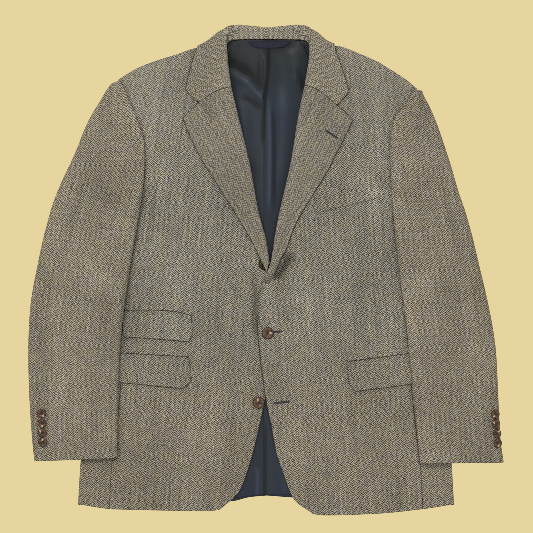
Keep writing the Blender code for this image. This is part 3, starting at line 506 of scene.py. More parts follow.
def back_height(x, y):
    """Middle of the back's wall: on the floor, over the collar's fall, up to the shoulder."""
    lift = COLLAR_WALL + 2 * SEAM
    over_fall = (ease((y - FALL_START + FALL_RAMP) / FALL_RAMP)
                 * ease((FALL_REACH + FALL_RAMP - np.abs(x)) / FALL_RAMP))
    low = TWEED / 2 + lift * over_fall
    seam_zone = ease((np.abs(x) - NECK_FLAT) / NECK_RISE)
    return low + (round_shoulder(x, y, low, BACK_EDGE) - low) * seam_zone


def lining_height(x, y):
    """Middle of the back lining's wall."""
    out = (np.abs(x) - LINING_CORNER[0]) / CORNER_REACH[0]
    up = (y - LINING_CORNER[1]) / CORNER_REACH[1]
    at_corner = ease(out) * ease(up)
    return back_height(x, y) + TWEED / 2 + 2 * SEAM + LINING_WALL / 2 + 3 * LINING_WALL * at_corner


def reach_at(points, y):
    """Distance from the centre line to a line that climbs, at a height on the page."""
    return np.abs(cubic(y, [point[1] for point in points], [point[0] for point in points]))


def body_edge(side, y):
    """Distances from the centre line where the body under a sleeve starts and ends its drop."""
    fold = reach_at(SIDE_FOLD, y) + BODY_MARGIN
    full = reach_at(ARMHOLE_FRONT[side], y) + ARMHOLE_MARGIN
    floor = np.maximum(reach_at(ARMHOLE_BACK[side], y), full + ARMHOLE_DROP)
    above = ease((y - ARMPIT[0]) / (ARMPIT[1] - ARMPIT[0]))
    return fold + (full - fold) * above, fold + BODY_DROP + (floor - fold - BODY_DROP) * above


def pocket_lift(x, y):
    """How much the pocket flaps raise a sleeve that lies over them."""
    reach = np.abs(x)
    near, far = POCKET_BAND["x"]
    low, high = POCKET_BAND["y"]
    fade = POCKET_BAND["fade"]
    across = ease((reach - near + fade) / fade) * ease((far + fade - reach) / fade)
    along = ease((y - low + fade) / fade) * ease((high + fade - y) / fade)
    return POCKET_BAND["lift"] * across * along


def sleeve_rest(side, x, y):
    """Middle of a sleeve's lower wall: on the body, and on the floor outside it."""
    full, floor = body_edge(side, y)
    on_body = body_height(x, y) + FRONT_WALL / 2 + 2 * SEAM + TWEED / 2 + pocket_lift(x, y)
    on_floor = round_shoulder(x, y, TWEED / 2, BACK_EDGE)
    return float(on_floor + (on_body - on_floor) * ease((floor - abs(x)) / (floor - full)))


# Grids of the panels, as they are built

def roll_lines(side):
    """Plan lines of a lapel's roll: its outermost line, its crest, and the seam under it."""
    sign = SIDES[side]
    roll = trace(ROLL[side], LAPEL_SHARES)
    inset = np.stack([0 * roll[:, 1], lookup(ROLL_DEPTH[side], roll[:, 1]),
                      lookup(ROLL_SETBACK[side], roll[:, 1])]) + COLLAR_WALL / 2
    return [offset_line(roll, -sign * distance) for distance in inset]


def front_inner_edge(side, rows):
    """Front edge up to the lapel's break, then the seam under the roll and the neck seam."""
    sign = SIDES[side]
    under_roll = offset_line(roll_lines(side)[2], -sign * 2 * SEAM)
    neck = np.array(NECK[side]) + (sign * NECK_SEAM, 0)
    lower = trace(np.concatenate([FRONT_EDGE[side], under_roll[:1]]), even(BREAK_ROW + 1))
    rest = np.linspace(EVEN_FROM, 1, rows - BREAK_ROW - len(BREAK_SHARES))
    shares = np.concatenate([BREAK_SHARES, rest])
    upper = trace(np.concatenate([under_roll, neck[1:]]), shares)
    return np.concatenate([lower, upper[1:]])


def side_stations():
    """The side panel's sections, shared by the seams of its neighbours."""
    return resample(SIDE_FOLD, np.linspace(0, len(SIDE_FOLD) - 1, SIDE_ROWS))


def outer_edge(seam, armhole, at, sign):
    """Side seam and armhole of a panel, half a seam's gap inside them, and the shares of its points."""
    edge = np.concatenate([seam, trace(armhole, at)[1:]]) - (sign * SEAM / 2, 0)
    return edge, lengths(edge) / lengths(edge)[-1]


def front_grid(side):
    """Front panel: hem, side seam and armhole, shoulder, front edge."""
    sign = SIDES[side]
    seam = [(sign * (row[0] - SIDE_WIDTH), row[2]) for row in side_stations()]
    outer, shares = outer_edge(seam, ARMHOLE_FRONT[side], even(12), sign)
    columns = even(11)
    plan = patch(trace(HEM[side], columns), trace(SHOULDER[side], columns), outer,
                 front_inner_edge(side, len(outer)), shares)
    return raised(plan, front_height, side)


def back_grid(side):
    """Back panel on the floor: hem, side seam and armhole, shoulder and neck, centre seam."""
    sign = SIDES[side]
    seam = [(sign * row[3], row[4]) for row in side_stations()]
    outer, shares = outer_edge(seam, ARMHOLE_BACK[side], FINE_TOP, sign)
    top = np.concatenate([trace(SHOULDER[side], even(7)), trace(BACK_NECK[side], even(4))[1:]])
    top[0] = outer[-1]
    top[-1, 0] += sign * SEAM / 2
    bottom = trace(BACK_HEM[side], even(len(top)))
    bottom[0] = outer[0]
    bottom[-1, 0] += sign * SEAM / 2
    centre = bottom[-1] + (top[-1] - bottom[-1]) * shares[:, None]
    plan = patch(bottom, top, outer, centre, shares)
    return raised(plan, back_height)


def side_grid(side):
    """Side panel: from the back seam on the floor, round the side fold, to the front seam."""
    sign = SIDES[side]
    low = TWEED / 2
    grid = []
    for outer_x, fold_y, front_y, back_x, back_y in side_stations():
        fold_x = outer_x - TWEED / 2
        seam_x = outer_x - SIDE_WIDTH + SEAM / 2
        top = float(body_height(sign * seam_x, front_y))
        half = (top - low) / 2
        section = [(back_x + SEAM / 2, back_y, low),
                   ((back_x + fold_x - half) / 2, (back_y + fold_y) / 2, low)]
        for k in range(SIDE_TURN + 1):
            angle = math.pi * (k / SIDE_TURN - 0.5)
            section.append((fold_x - half + half * math.cos(angle), fold_y,
                            low + half + half * math.sin(angle)))
        section.append(((seam_x + fold_x - half) / 2, (front_y + fold_y) / 2, top))
        section.append((seam_x, front_y, top))
        grid.append([(sign * x, y, z) for x, y, z in section])
    return np.array(grid)


def lining_grid(side):
    """Back lining; the right one laps over the left as a pleat."""
    sign = SIDES[side]
    lap = 0 if side == "left" else PLEAT
    columns = even(6)
    rows = np.array(LINING_ROWS)
    hem = BACK_HEM[side]
    middle = CENTRE_BACK - sign * lap
    bottom = trace([(sign * x, hem[k][1] + up) for x, k, up in LINING_HEM]
                   + [(middle, hem[-1][1] + LINING_HEM_END)], columns)
    top = trace([(sign * x, y) for x, y in LINING_TOP] + [(middle, LINING_NECK)], columns)
    outer = trace([bottom[0], *((sign * x, y) for x, y in LINING_SIDE), top[0]], rows)
    inner = bottom[-1] + (top[-1] - bottom[-1]) * rows[:, None]
    plan = patch(bottom, top, outer, inner, rows)
    height = lining_height(plan[..., 0], plan[..., 1])
    if side == "right":
        height += (LINING_WALL + 2 * SEAM) * ease((3 * PLEAT - plan[..., 0]) / (2 * PLEAT))
    return with_height(plan, height)


def gorge(side, t):
    """Gorge seam in plan: 0 at the roll line, 1 at the notch."""
    start = np.array(ROLL[side][-1])
    end = np.array(NOTCH[side])
    t = np.asarray(t, float)
    line = start + (end - start) * t[:, None]
    line[:, 1] += GORGE_BEND * np.sin(math.pi * t)
    return line


def lapel_grid(side):
    """Lapel: its leaf from the outer edge in, the roll, and the wall under the roll."""
    roll, centre, under = roll_lines(side)
    tall = lookup(ROLL_HEIGHT[side], under[:, 1])
    base = front_height(side, under[:, 0], under[:, 1])
    notch_line = np.array(NOTCH_LINE[side] + (NOTCH[side],))
    top = np.concatenate([trace(notch_line, even(4))[:-1], gorge(side, GORGE_SHARES[::-1])])
    centre[-1] = top[-1]
    outer = trace(LAPEL_EDGE[side], LAPEL_SHARES)
    outer[-1] = top[0]
    bottom = outer[0] + (centre[0] - outer[0]) * even(len(top))[:, None]
    leaf = patch(bottom, top, outer, centre, LAPEL_SHARES)
    grid = []
    for i, line in enumerate(leaf):
        reach = np.linalg.norm(line - centre[i], axis=1)
        rest = on_front(COLLAR_WALL, side, line[:, 0], line[:, 1]) + lookup(LAPEL_LIFT[side], line[:, 1])
        crest = np.maximum(base[i] + tall[i], rest)
        height = rest + (crest - rest) * (1 - ease(reach / reach[0] / LEAF_SHARE))
        row = [(x, y, z) for (x, y), z in zip(line, height)]
        for angle in (45, 0, -45, -90):
            lean = math.radians(angle)
            x, y = centre[i] + (roll[i] - centre[i]) * math.cos(lean)
            row.append((x, y, base[i] + tall[i] / 2 * (1 + math.sin(lean))))
        row.append((*((under[i] + centre[i]) / 2), base[i]))
        row.append((*under[i], base[i]))
        grid.append(row)
    return np.array(grid)


def collar_section(station):
    """Section of the collar's strip: stand, fold, and fall to the outer edge."""
    seam, fold, leaf, edge = (station[3 * k:3 * k + 3] for k in range(4))
    radius = station[12]
    axis = fold - (seam + leaf) / 2
    axis /= np.linalg.norm(axis)
    spread = seam - leaf
    spread -= axis * spread.dot(axis)
    spread /= np.linalg.norm(spread)
    arc = [fold - axis * (COLLAR_WALL / 2 + radius * (1 - math.cos(a))) + spread * radius * math.sin(a)
           for a in np.radians((80, 40, 0, -40, -80))]
    section = [seam, (seam + arc[0]) / 2] + arc[:-1]
    section += list(cubic(even(COLLAR_COLUMNS), (0, COLLAR_SPLIT, 1), (arc[-1], leaf, edge)))
    return np.array(section)


def collar_grid():
    """Collar in one strip round the neck, from gorge seam to gorge seam."""
    last = len(COLLAR) - 1
    grid = []
    for at in np.linspace(0, last, COLLAR_ROWS):
        section = collar_section(resample(COLLAR, [at])[0])
        from_end = min(at, last - at)
        if from_end < 1:
            side = "left" if at < last / 2 else "right"
            seam_row = lapel_grid(side)[-1][::-1][:-3] + (0, 3 * SEAM, 0)
            matched = len(seam_row)
            section[:matched] += (seam_row - section[:matched]) * (1 - from_end)
        for point in section:
            if shoulder_distance(point[0], point[1]) > 0 and from_end < COLLAR_ON_FRONT:
                rest = on_front(COLLAR_WALL, side_of(point[0]), point[0], point[1])
                point[2] = max(point[2], float(rest))
            point[2] = max(point[2], COLLAR_WALL / 2)
        grid.append(section)
    return np.array(grid)


def side_of(x):
    """Which side of the centre line a point is on."""
    return "left" if x < 0 else "right"


def sleeve_ends(side, station):
    """Inner and outer fold of a flattened sleeve's section, as points of the wall's middle."""
    inner = np.array(station[0:2])
    outer = np.array(station[2:4])
    across = (outer - inner) / np.linalg.norm(outer - inner)
    inner = inner + across * TWEED / 2
    outer = outer - across * TWEED / 2
    return (np.array((*inner, sleeve_rest(side, *inner) + station[6] / 2)),
            np.array((*outer, sleeve_rest(side, *outer) + station[7] / 2)))


def sleeve_upper(side, station, s):
    """Point of a section's upper wall, at a share of its width from the inner fold."""
    inner, outer = sleeve_ends(side, station)
    point = inner + (outer - inner) * s
    puff = station[6] + (station[7] - station[6]) * s
    roundness = (1 - min(abs(2 * s - 1), 1) ** SQUARENESS) ** (1 / SQUARENESS)
    point[2] = inner[2] + (outer[2] - inner[2]) * float(ease(s)) + puff / 2 * roundness
    return point


def sleeve_wrap(side, fold, towards, length, t):
    """Point of the wall that turns under a fold: 0 at the fold, 1 flat on what it lies on."""
    across = towards[:2] - fold[:2]
    across /= np.linalg.norm(across)
    x, y = fold[:2] + across * length * t
    rest = sleeve_rest(side, x, y)
    turn = (1 - (1 - t) ** SQUARENESS) ** (1 / SQUARENESS)
    return np.array((x, y, fold[2] + (rest - fold[2]) * turn))


def sleeve_grids(side, across=8, under_columns=8):
    """Top sleeve, from the forearm seam over both folds to the elbow seam, and under sleeve."""
    sign = SIDES[side]
    top_grid = []
    under_grid = []
    for station in resample(np.hstack([SLEEVE[side], SLEEVE_PUFF]), SLEEVE_AT):
        inner, outer = sleeve_ends(side, station)
        slant = np.linalg.norm((outer - inner)[:2]) / abs(outer[0] - inner[0])
        width = abs(outer[0] - inner[0]) * slant
        forearm = (sign * (station[4] - inner[0]) - SEAM / 2) * slant
        elbow = ELBOW_WRAP * min(1, width / NARROW_SLEEVE) - SEAM / 2
        top = [sleeve_wrap(side, inner, outer, forearm, t) for t in WRAP_AT]
        top += [sleeve_upper(side, station, 0.5 - 0.5 * math.cos(math.pi * k / across))
                for k in range(across + 1)]
        top += [sleeve_wrap(side, outer, inner, elbow, t) for t in WRAP_AT[::-1]]
        top_grid.append(top)
        start = (sign * (station[5] - inner[0]) + SEAM / 2) * slant / width
        stop = 1 - (elbow + 2 * SEAM) / width
        row = []
        for share in np.linspace(start, stop, under_columns):
            x, y = (inner + (outer - inner) * share)[:2]
            row.append((x, y, sleeve_rest(side, x, y)))
        under_grid.append(row)
    return np.array(top_grid), np.array(under_grid)


def edge_patch(edges, columns, rows):
    """Plan grid of a flat piece, between its four edges."""
    return patch(trace(edges["bottom"], even(columns)), trace(edges["top"], even(columns)),
                 trace(edges["inner"][::-1], even(rows)), trace(edges["outer"][::-1], even(rows)))


def laid_grid(edges, side, wall):
    """A flat piece on a front."""
    return raised(edge_patch(edges, 7, 4), on_front, wall, side)


def jet_grid(edges, side):
    """The narrow strip above a flap."""
    low = trace(edges["top"], even(6)) + (0, SEAM + JET_GAP)
    return raised(np.stack([low, low + (0, JET_HEIGHT)]), on_front, JET_WALL, side)


def label_grid():
    """The plain neck label on the lining."""
    step = 1.5 * LINING_WALL + 3 * SEAM + LABEL_WALL / 2
    return raised(edge_patch(LABEL, 7, 3), lining_height) + (0, 0, step)


# Fine surfaces

# How far apart a fine grid's points are, and the least steps between two of the coarse one
STEP = 4.0
TURNED_STEP = 3.0
LINING_STEP = 2.0
LEAST_STEPS = 2
# Reach of the round at the edges of the lapels and the collar
TURNED_EDGE = 0.6
EDGE_SHARES = (0, 0.07, 0.27, 0.6, 1)
# Every edge grows by this, so that seams close
SEAM_CLOSE = 0.2
# The flaps' weave is out of step with the front's
UV_SHIFT = 1.7
# Share of a crease's length over which it fades at each end
CREASE_END = 0.3
# Heights between which a layer starts to follow the unevenness: none on the floor
LIFT_FROM = 1.5
LIFT_OVER = 7
WAVES = (
    # heading in degrees, wavelength, height, phase
    (8, 190, 0.45, 0.4), (-17, 128, 0.3, 1.9), (76, 230, 0.35, 2.6), (52, 96, 0.16, 0.8),
    (-38, 150, 0.25, 4.4),
)
CREASES = (
    # x, y at both ends, sideways bend, half width, height
    (42, 27, 15, -15, 2, 8, -5.5),
    (-19, -8, -17, -100, -2, 5, -2.6),
    (176, 152, 205, 132, 3, 8, -1.3),
    (172, 134, 206, 112, 4, 8, 0.9),
    (-150, 30, -185, 118, 6, 16, -0.7),
    (120, -250, 132, -380, 5, 18, 0.8),
    (-120, -240, -128, -385, -5, 18, 0.8),
    (-60, -250, -64, -375, 3, 13, -0.6),
    (62, -230, 70, -385, 4, 14, -0.6),
    (150, -40, 146, 60, -4, 18, -0.7),
    (-230, 150, -196, 178, 3, 9, -0.9),
    (-85, -20, -92, 70, 3, 12, 0.6),
    (-103, 276, -87, 248, 0, 1.8, -2.6),
    (35, -10, 28, -95, 2, 16, -1.2),
    (32, 20, 20, -45, 0, 13, -1.3),
    (-17, -28, -17, -118, 1, 5, -1.9),
    (-4, -15, -14, -54, -1, 3, -1.8),
    (4, -22, -7, -56, -1, 3.5, 0.9),
)
SLEEVE_CREASES = (
    (-236, -70, -318, -20, 8, 10, -1.0),
    (-232, -40, -300, 22, 8, 10, 0.7),
    (-385, 10, -330, -40, -6, 12, -0.8),
    (-375, 60, -300, 40, 6, 12, 0.5),
    (-372, -90, -366, -240, 0, 14, -1.2),
    (-222, 110, -290, 150, 6, 12, -1.1),
    (-280, -200, -300, -300, 4, 14, -0.8),
    (-335, -120, -345, -290, -4, 16, 0.7),
    (-212, 190, -262, 240, -5, 11, -0.9),
    (228, -75, 300, -28, -8, 10, -1.0),
    (224, -44, 290, 20, -8, 10, 0.7),
    (372, -10, 318, -52, 6, 12, -0.6),
    (352, 62, 290, 36, -6, 12, 0.5),
    (322, 30, 340, -90, 0, 18, 0.8),
    (214, 120, 280, 158, -6, 12, -1.0),
    (290, -190, 302, -300, 4, 14, -0.8),
    (340, -110, 350, -290, 4, 16, 0.7),
    (212, 188, 256, 232, 5, 11, -0.9),
)
LINING_FOLDS = (
    (-74, 349, -30, 331, 2, 9, -2.4),
    (-40, 334, -7, 298, 3, 7, -2.6),
    (-72, 328, -24, 308, 3, 8, 1.7),
    (-34, 312, -6, 282, 3, 7, 1.7),
    (-38, 286, -8, 268, 2, 6, -2.6),
    (-11, 350, -9, 300, -2, 3, -1.6),
    (-2, 352, -3, 318, 1, 3, 1.2),
    (5, 372, -1, 288, 1, 2.6, -3.4),
    (-1, 300, -5, 214, -1, 2.6, -3.8),
    (7, 268, 6, 105, 1, 3.5, 1.9),
    (12, 262, 13, 108, 1, 3, -1.7),
    (43, 362, 49, 312, 2, 7, 1.4),
    (52, 334, 60, 294, 2, 5, -1.8),
    (-28, 262, -14, 150, -3, 6, -1.2),
    (-42, 280, -24, 180, -3, 7, 1.0),
    (30, 290, 24, 150, 2, 6, 0.8),
    (26, 352, 30, 262, 2, 9, 0.9),
    (-36, 306, -27, 200, 3, 8, 0.5),
    (-15, -330, -16, -372, 1, 3, 1.9),
    (-1, -260, -1, -380, 0, 2, -2.2),
    (20, -300, 30, -368, 2, 7, 1.0),
)
# Columns of the top sleeve's grid that are its upper wall
SLEEVE_UPPER = (3, 11)
# The lining's folds go no further down than this
LINING_DIP = -0.2
# The right lapel's lower end dies away into the front
LAPEL_SINK = 4.0
LAPEL_END = -4
LAPEL_FADE = 18
# The left one's lower end goes on under the right one
TUCK_TOP = 14
TUCK_SHIFT = 3.5
TUCK_SINK = 0.8
# Where the two fronts part below the lapels, the painted shade at and beside their edges is softer
PARTING = {"start": -6, "rise": 10, "top": -50, "bottom": -95, "reach": 60, "fade": 20, "gap": 3, "rim_shade": 0.3}
# How far the painted shade at a piece's own edge and the painted shade beside a layer on top reach
EDGE_SHADE_REACH = 3.0
COVER_REACH = 14.0
# The shade beside a flap's inner end is thinner
SOFT_END = 1.1
SOFT_REACH = 3
# Places on a panel that a height on it is taken from, and how soft their weights are
NEAREST = 6
NEAREST_SOFT = 0.2
GRAIN_SHIFT = {
    # y, how far the warp has moved sideways by there
    "left": ((-400, -26), (-200, -14), (0, 0), (200, 22), (380, 46)),
    "right": ((-400, 28), (-200, 14), (0, 0), (200, -14), (380, -27)),
}
GRAIN_TURN = {"left": 0.08, "right": -0.07}
SLEEVE_TURN = {"left": 0.07, "right": 0.13}
# The collar's columns run across it, so they turn between the neck and the leaves
COLLAR_TURN = math.radians(69)
COLLAR_BEND = (46, 26)
COLLAR_CORNER = (62, 372)
# Points of each panel's upper face, and its wall
upper_faces = {}


def creased(rows, x, y):
    """Height of a table of soft creases at plan points."""
    total = np.zeros(np.shape(x))
    for x0, y0, x1, y1, bend, width, height in rows:
        along = np.array((x1 - x0, y1 - y0), float)
        span = np.linalg.norm(along)
        along /= span
        t = ((x - x0) * along[0] + (y - y0) * along[1]) / span
        off = (y - y0) * along[0] - (x - x0) * along[1] - 4 * bend * t * (1 - t)
        ends = ease(t / CREASE_END + 0.5) * ease((1 - t) / CREASE_END + 0.5)
        total = total + height * np.exp(-(off / width) ** 2) * ends
    return total


def rippled(x, y):
    """Gentle unevenness of cloth that was laid down by hand."""
    total = creased(CREASES, x, y)
    for heading, wavelength, height, phase in WAVES:
        lean = math.radians(heading)
        way = x * math.cos(lean) + y * math.sin(lean)
        total = total + height * np.sin(way * 2 * math.pi / wavelength + phase)
    return total


def fine_stations(along, edge, step):
    """Where a grid is sampled: a few millimetres apart, and closer by its two rounded ends."""
    at = [a + (b - a) * k / n for a, b in zip(along, along[1:])
          for n in (max(LEAST_STEPS, math.ceil((b - a) / step)),) for k in range(n)]
    inside = [x for x in at if 1.5 * edge < x < along[-1] - 1.5 * edge]
    near = [edge * share for share in EDGE_SHARES]
    return np.array(near + inside + [along[-1] - x for x in near[::-1]])


def refine(grid, edge, step):
    """Finer grid through a coarse one, and how far its rows and columns are from the ends.

    Two more channels carry each point's place in the coarse rows and columns.
    """
    for axis in (0, 1):
        grid = np.moveaxis(grid, axis, 0).copy()
        for end, inner in ((0, 1), (-1, -2)):
            out = grid[end] - grid[inner]
            out /= np.linalg.norm(out, axis=-1, keepdims=True)
            grid[end] += out * SEAM_CLOSE
        grid = np.moveaxis(grid, 0, axis)
    rows, columns = np.indices(grid.shape[:2])
    grid = np.concatenate([grid, rows[..., None], columns[..., None]], axis=-1)
    depths = []
    for axis in (0, 1):
        steps = np.linalg.norm(np.diff(grid[..., :3], axis=axis), axis=-1).mean(axis=1 - axis)
        along = np.concatenate([(0,), np.cumsum(steps)])
        at = fine_stations(along, edge, step)
        grid = np.moveaxis(cubic(at, along, np.moveaxis(grid, axis, 0)), 0, axis)
        depths.append(np.minimum(at, along[-1] - at))
    return grid, depths


def normals_of(points, face):
    """Unit normals of a grid, pointing up at the given row and column shares."""
    normal = np.cross(np.gradient(points, axis=1), np.gradient(points, axis=0))
    normal /= np.maximum(np.linalg.norm(normal, axis=-1, keepdims=True), 1e-9)
    at = tuple(int(share * (n - 1)) for share, n in zip(face, points.shape))
    return normal * (1 if normal[at][2] > 0 else -1)


def arcs(points, axis):
    """Distance along every row or column from its start."""
    steps = np.linalg.norm(np.diff(points, axis=axis), axis=-1)
    return np.concatenate([np.zeros_like(np.take(steps, [0], axis)), np.cumsum(steps, axis)], axis)


def grain_of(kind, points):
    """Two maps, in millimetres: across the warp, and along it."""
    x, y = points[..., 0], points[..., 1]
    if kind == "collar":
        side = np.where(x < 0, -1.0, 1.0)
        turn = COLLAR_TURN * ease((np.abs(x) - COLLAR_BEND[0]) / COLLAR_BEND[1])
        out, up = x - side * COLLAR_CORNER[0], y - COLLAR_CORNER[1]
        return side * np.cos(turn) * out - np.sin(turn) * up, side * np.sin(turn) * out + np.cos(turn) * up
    side = side_of(x.mean())
    across, along = arcs(points, 1), arcs(points, 0)
    middle = points.shape[1] // 2
    if kind in ("plan", "side"):
        out = x if kind == "plan" else x[:, -1:] + SIDES[side] * (across[:, -1:] - across)
        return out - lookup(GRAIN_SHIFT[side], y), y + GRAIN_TURN[side] * out
    if kind == "sleeve":
        out = across - across[:, middle:middle + 1]
        return out, along[:, middle:middle + 1] + SLEEVE_TURN[side] * out
    edge = points[-1, 0, :2] - points[0, 0, :2]
    edge /= np.linalg.norm(edge)
    out = np.array((edge[1], -edge[0])) * np.sign(x[len(x) // 2, 0])
    row = points[:, 0, :2] - points[:, middle, :2]
    slant = np.abs((row @ out) / np.linalg.norm(row, axis=1))[:, None]
    return -across * slant, x * edge[0] + y * edge[1]


def parting(x, y):
    """How softly the painted shade at and beside edges shows, near where the fronts part below the lapels: 1
    at most.
    """
    low = ease((y - PARTING["bottom"]) / (PARTING["top"] - PARTING["bottom"]))
    high = ease((PARTING["start"] + PARTING["rise"] - y) / PARTING["rise"])
    return low * high * ease((PARTING["reach"] - np.abs(x)) / PARTING["fade"])


def plan_loop(grid, wall, step=STEP, folded=False):
    """Outline in plan of a panel; of one folded round on itself, the row by row extremes."""
    fine = refine(grid, wall / 2, step)[0][..., :2]
    if folded:
        rows = np.arange(len(fine))
        chains = fine[rows, fine[..., 0].argmin(axis=1)], fine[rows, fine[..., 0].argmax(axis=1)][::-1]
    else:
        chains = fine[0, :-1], fine[:-1, -1], fine[-1, :0:-1], fine[:0:-1, 0]
    return np.concatenate(chains)


def clearance(spots, loop, soft_end):
    """Distance in plan from places to a closed outline, less than nothing inside it.

    The inner end of a pocket flap lies close, so places beyond it count as farther off.
    """
    found = np.full(len(spots), COVER_REACH)
    near = ((spots > loop.min(axis=0) - COVER_REACH) & (spots < loop.max(axis=0) + COVER_REACH)).all(axis=1)
    x, y = spots[near, 0][:, None], spots[near, 1][:, None]
    (ax, ay), (bx, by) = loop.T, np.roll(loop, -1, axis=0).T
    wx, wy = bx - ax, by - ay
    t = np.clip(((x - ax) * wx + (y - ay) * wy) / np.maximum(wx * wx + wy * wy, 1e-9), 0, 1)
    gap = np.hypot(x - ax - t * wx, y - ay - t * wy).min(axis=1)
    crossed = ((ay > y) != (by > y)) & (x < ax + wx * (y - ay) / np.where(np.abs(wy) < 1e-9, 1e-9, wy))
    found[near] = np.where(crossed.sum(axis=1) % 2 == 1, -gap, gap)
    x, y = spots.T
    found += PARTING["gap"] * parting(x, y) * ease((PARTING["start"] - y) / LAPEL_FADE)
    if soft_end:
        found += SOFT_END * ease((np.abs(loop[:, 0]).min() + SOFT_REACH - np.abs(x)) / SOFT_REACH)
    return np.clip(found, -COVER_REACH, COVER_REACH)


def shell_faces(rows, columns):
    """Quads of a closed shell on a grid: its top, then its underside, which shares the top's rim."""
    top = np.arange(rows * columns).reshape(rows, columns)
    under = top.copy()
    under[1:-1, 1:-1] = rows * columns + np.arange((rows - 2) * (columns - 2)).reshape(rows - 2, -1)
    quads = [np.stack([sheet[:-1, :-1], sheet[:-1, 1:], sheet[1:, 1:], sheet[1:, :-1]], axis=-1)
             for sheet in (top, under)]
    return np.concatenate([quads[0].reshape(-1, 4), quads[1].reshape(-1, 4)[:, ::-1]])


def both_sides(top, low=None):
    """A grid's values at each point of such a shell: the top's, then the underside's within the rim."""
    inside = (top if low is None else low)[1:-1, 1:-1]
    return np.concatenate([top.reshape(-1, *top.shape[2:]), inside.reshape(-1, *top.shape[2:])])


def make_mesh(name, points, faces, finishes, **numbers):
    """A mesh from points in millimetres, with numbers on them for its materials."""
    mesh = bpy.data.meshes.new(name)
    mesh.from_pydata((np.asarray(points, float) * MM).tolist(), [], faces)
    for finish in finishes:
        mesh.materials.append(finish)
    for key, values in numbers.items():
        mesh.attributes.new(key, "FLOAT", "POINT").data.foreach_set("value", np.asarray(values, np.float32))
    mesh.shade_smooth()
    return mesh


def shell_mesh(name, points, depths, edge, wall, face, grain, finishes, covers, relief):
    """A closed cloth wall round a middle surface, thinned to a round at its edges."""
    rows, columns = points.shape[:2]
    rounds = [np.sqrt(1 - (1 - np.minimum(d / edge, 1)) ** 2) for d in depths]
    normal = normals_of(points, face)
    out = normal * (wall / 2 * rounds[0][:, None] * rounds[1][None, :])[..., None]
    faces = shell_faces(rows, columns)
    middle = rows // 2, columns // 2
    across, along = (np.gradient(points, axis=axis)[middle] for axis in (1, 0))
    if np.cross(across, along).dot(normal[middle]) < 0:
        faces = faces[:, ::-1]
    # Painted shade at the piece's own edges, softer where the fronts part
    rim_shade = np.exp(-np.minimum(depths[0][:, None], depths[1][None, :]) / EDGE_SHADE_REACH)
    rim_shade = rim_shade * (1 - PARTING["rim_shade"] * parting(points[..., 0], points[..., 1]))
    spots = points[..., :2].reshape(-1, 2)
    open_air = np.full(len(spots), COVER_REACH)
    clear = np.min([open_air] + [clearance(spots, *cover) for cover in covers], axis=0)
    mesh = make_mesh(name, both_sides(points + out, points - out), faces.tolist(), finishes,
                     wear=both_sides(rim_shade), cover=both_sides(clear.reshape(rows, columns)),
                     relief=both_sides(relief))
    if len(finishes) > 1:
        mesh.polygons.foreach_set("material_index", np.repeat((0, 1), len(faces) // 2).astype(np.int32))
    maps = both_sides(np.stack([np.broadcast_to(g, (rows, columns)) for g in grain], axis=-1))
    layer = mesh.uv_layers.new(name="grain")
    layer.uv.foreach_set("vector", maps[faces.reshape(-1)].astype(np.float32).reshape(-1))
    return mesh


def add_object(name, mesh, slot, *nodes):
    """A piece that rides on the jacket, and stands for its own solids."""
    piece = bpy.data.objects.new(name, mesh)
    bpy.context.scene.collection.objects.link(piece)
    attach(piece, BODY)
    if nodes:
        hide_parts(*nodes)
    return piece


def add_shell(node, grid, wall, settle, finishes, grain="plan", face=(0.5, 0.5), slot="tweed", step=STEP,
              on=(), shift=0.0, edge=None, trim=False, under=()):
    """The visible piece of one panel."""
    edge = wall / 2 if edge is None else edge
    fine, depths = refine(grid, edge, step)
    points = settle(fine)
    across, along = grain_of(grain, points)
    # How far settling moved each point up or down: the materials paint light and shade from it
    relief = points[..., 2] - fine[..., 2]
    if settle is settle_lining:
        relief = creased(LINING_FOLDS, points[..., 0], points[..., 1])
    mesh = shell_mesh("cloth_" + node, points, depths, edge, wall, face, (across + shift, along + shift),
                      finishes, [(outlines[name], "flap" in name) for name in under], relief)
    piece = add_object("cloth_" + node, mesh, slot, node)
    upper_faces[node] = points[normals_of(points, face)[..., 2] > 0.3], wall
    if trim:
        return piece
    area = sum(p.area for p in mesh.polygons) / 2
    width = max(arcs(points, 1)[:, -1]) * MM
    length = max(arcs(points, 0)[-1]) * MM
    cut = min(1.0, area / (width * length))
    ["cloth_" + name for name in on]
    round(cut * round(width, 3) * round(length, 3), 5)
    return piece


def settle_flat(fine):
    """A panel that lies on the floor."""
    return fine[..., :3].copy()


def settle_body(fine):
    """Panels of the body and what lies on them: less of the unevenness near the floor."""
    points = settle_flat(fine)
    x, y, z = (points[..., k] for k in range(3))
    points[..., 2] = z + rippled(x, y) * ease((z - LIFT_FROM) / LIFT_OVER)
    return points


def settle_lapel(fine):
    """Lapels: the right one's lower end dies away into the front, the left one's goes on under it."""
    points = settle_body(fine)
    x, y = points[..., 0], points[..., 1]
    if x.mean() > 0:
        points[..., 2] -= LAPEL_SINK * ease((LAPEL_END - y) / LAPEL_FADE)
    else:
        tucked = ease((TUCK_TOP - y) / TUCK_TOP)
        points[..., 0] += TUCK_SHIFT * tucked
        points[..., 2] -= TUCK_SINK * tucked
    return points


def settle_sleeve(fine):
    """Top sleeve: the body's unevenness, and its own creases on its upper wall."""
    points = settle_body(fine)
    column = fine[..., 4]
    upper = ease((column - SLEEVE_UPPER[0]) / 2) * ease((SLEEVE_UPPER[1] - column) / 2)
    points[..., 2] += creased(SLEEVE_CREASES, points[..., 0], points[..., 1]) * upper
    return points


def settle_lining(fine):
    """Back lining, in soft folds where the fronts leave room."""
    points = settle_flat(fine)
    points[..., 2] += np.maximum(creased(LINING_FOLDS, points[..., 0], points[..., 1]), LINING_DIP)
    return points


# Materials

WARP_PITCH = 1.02
WEFT_PITCH = 0.97
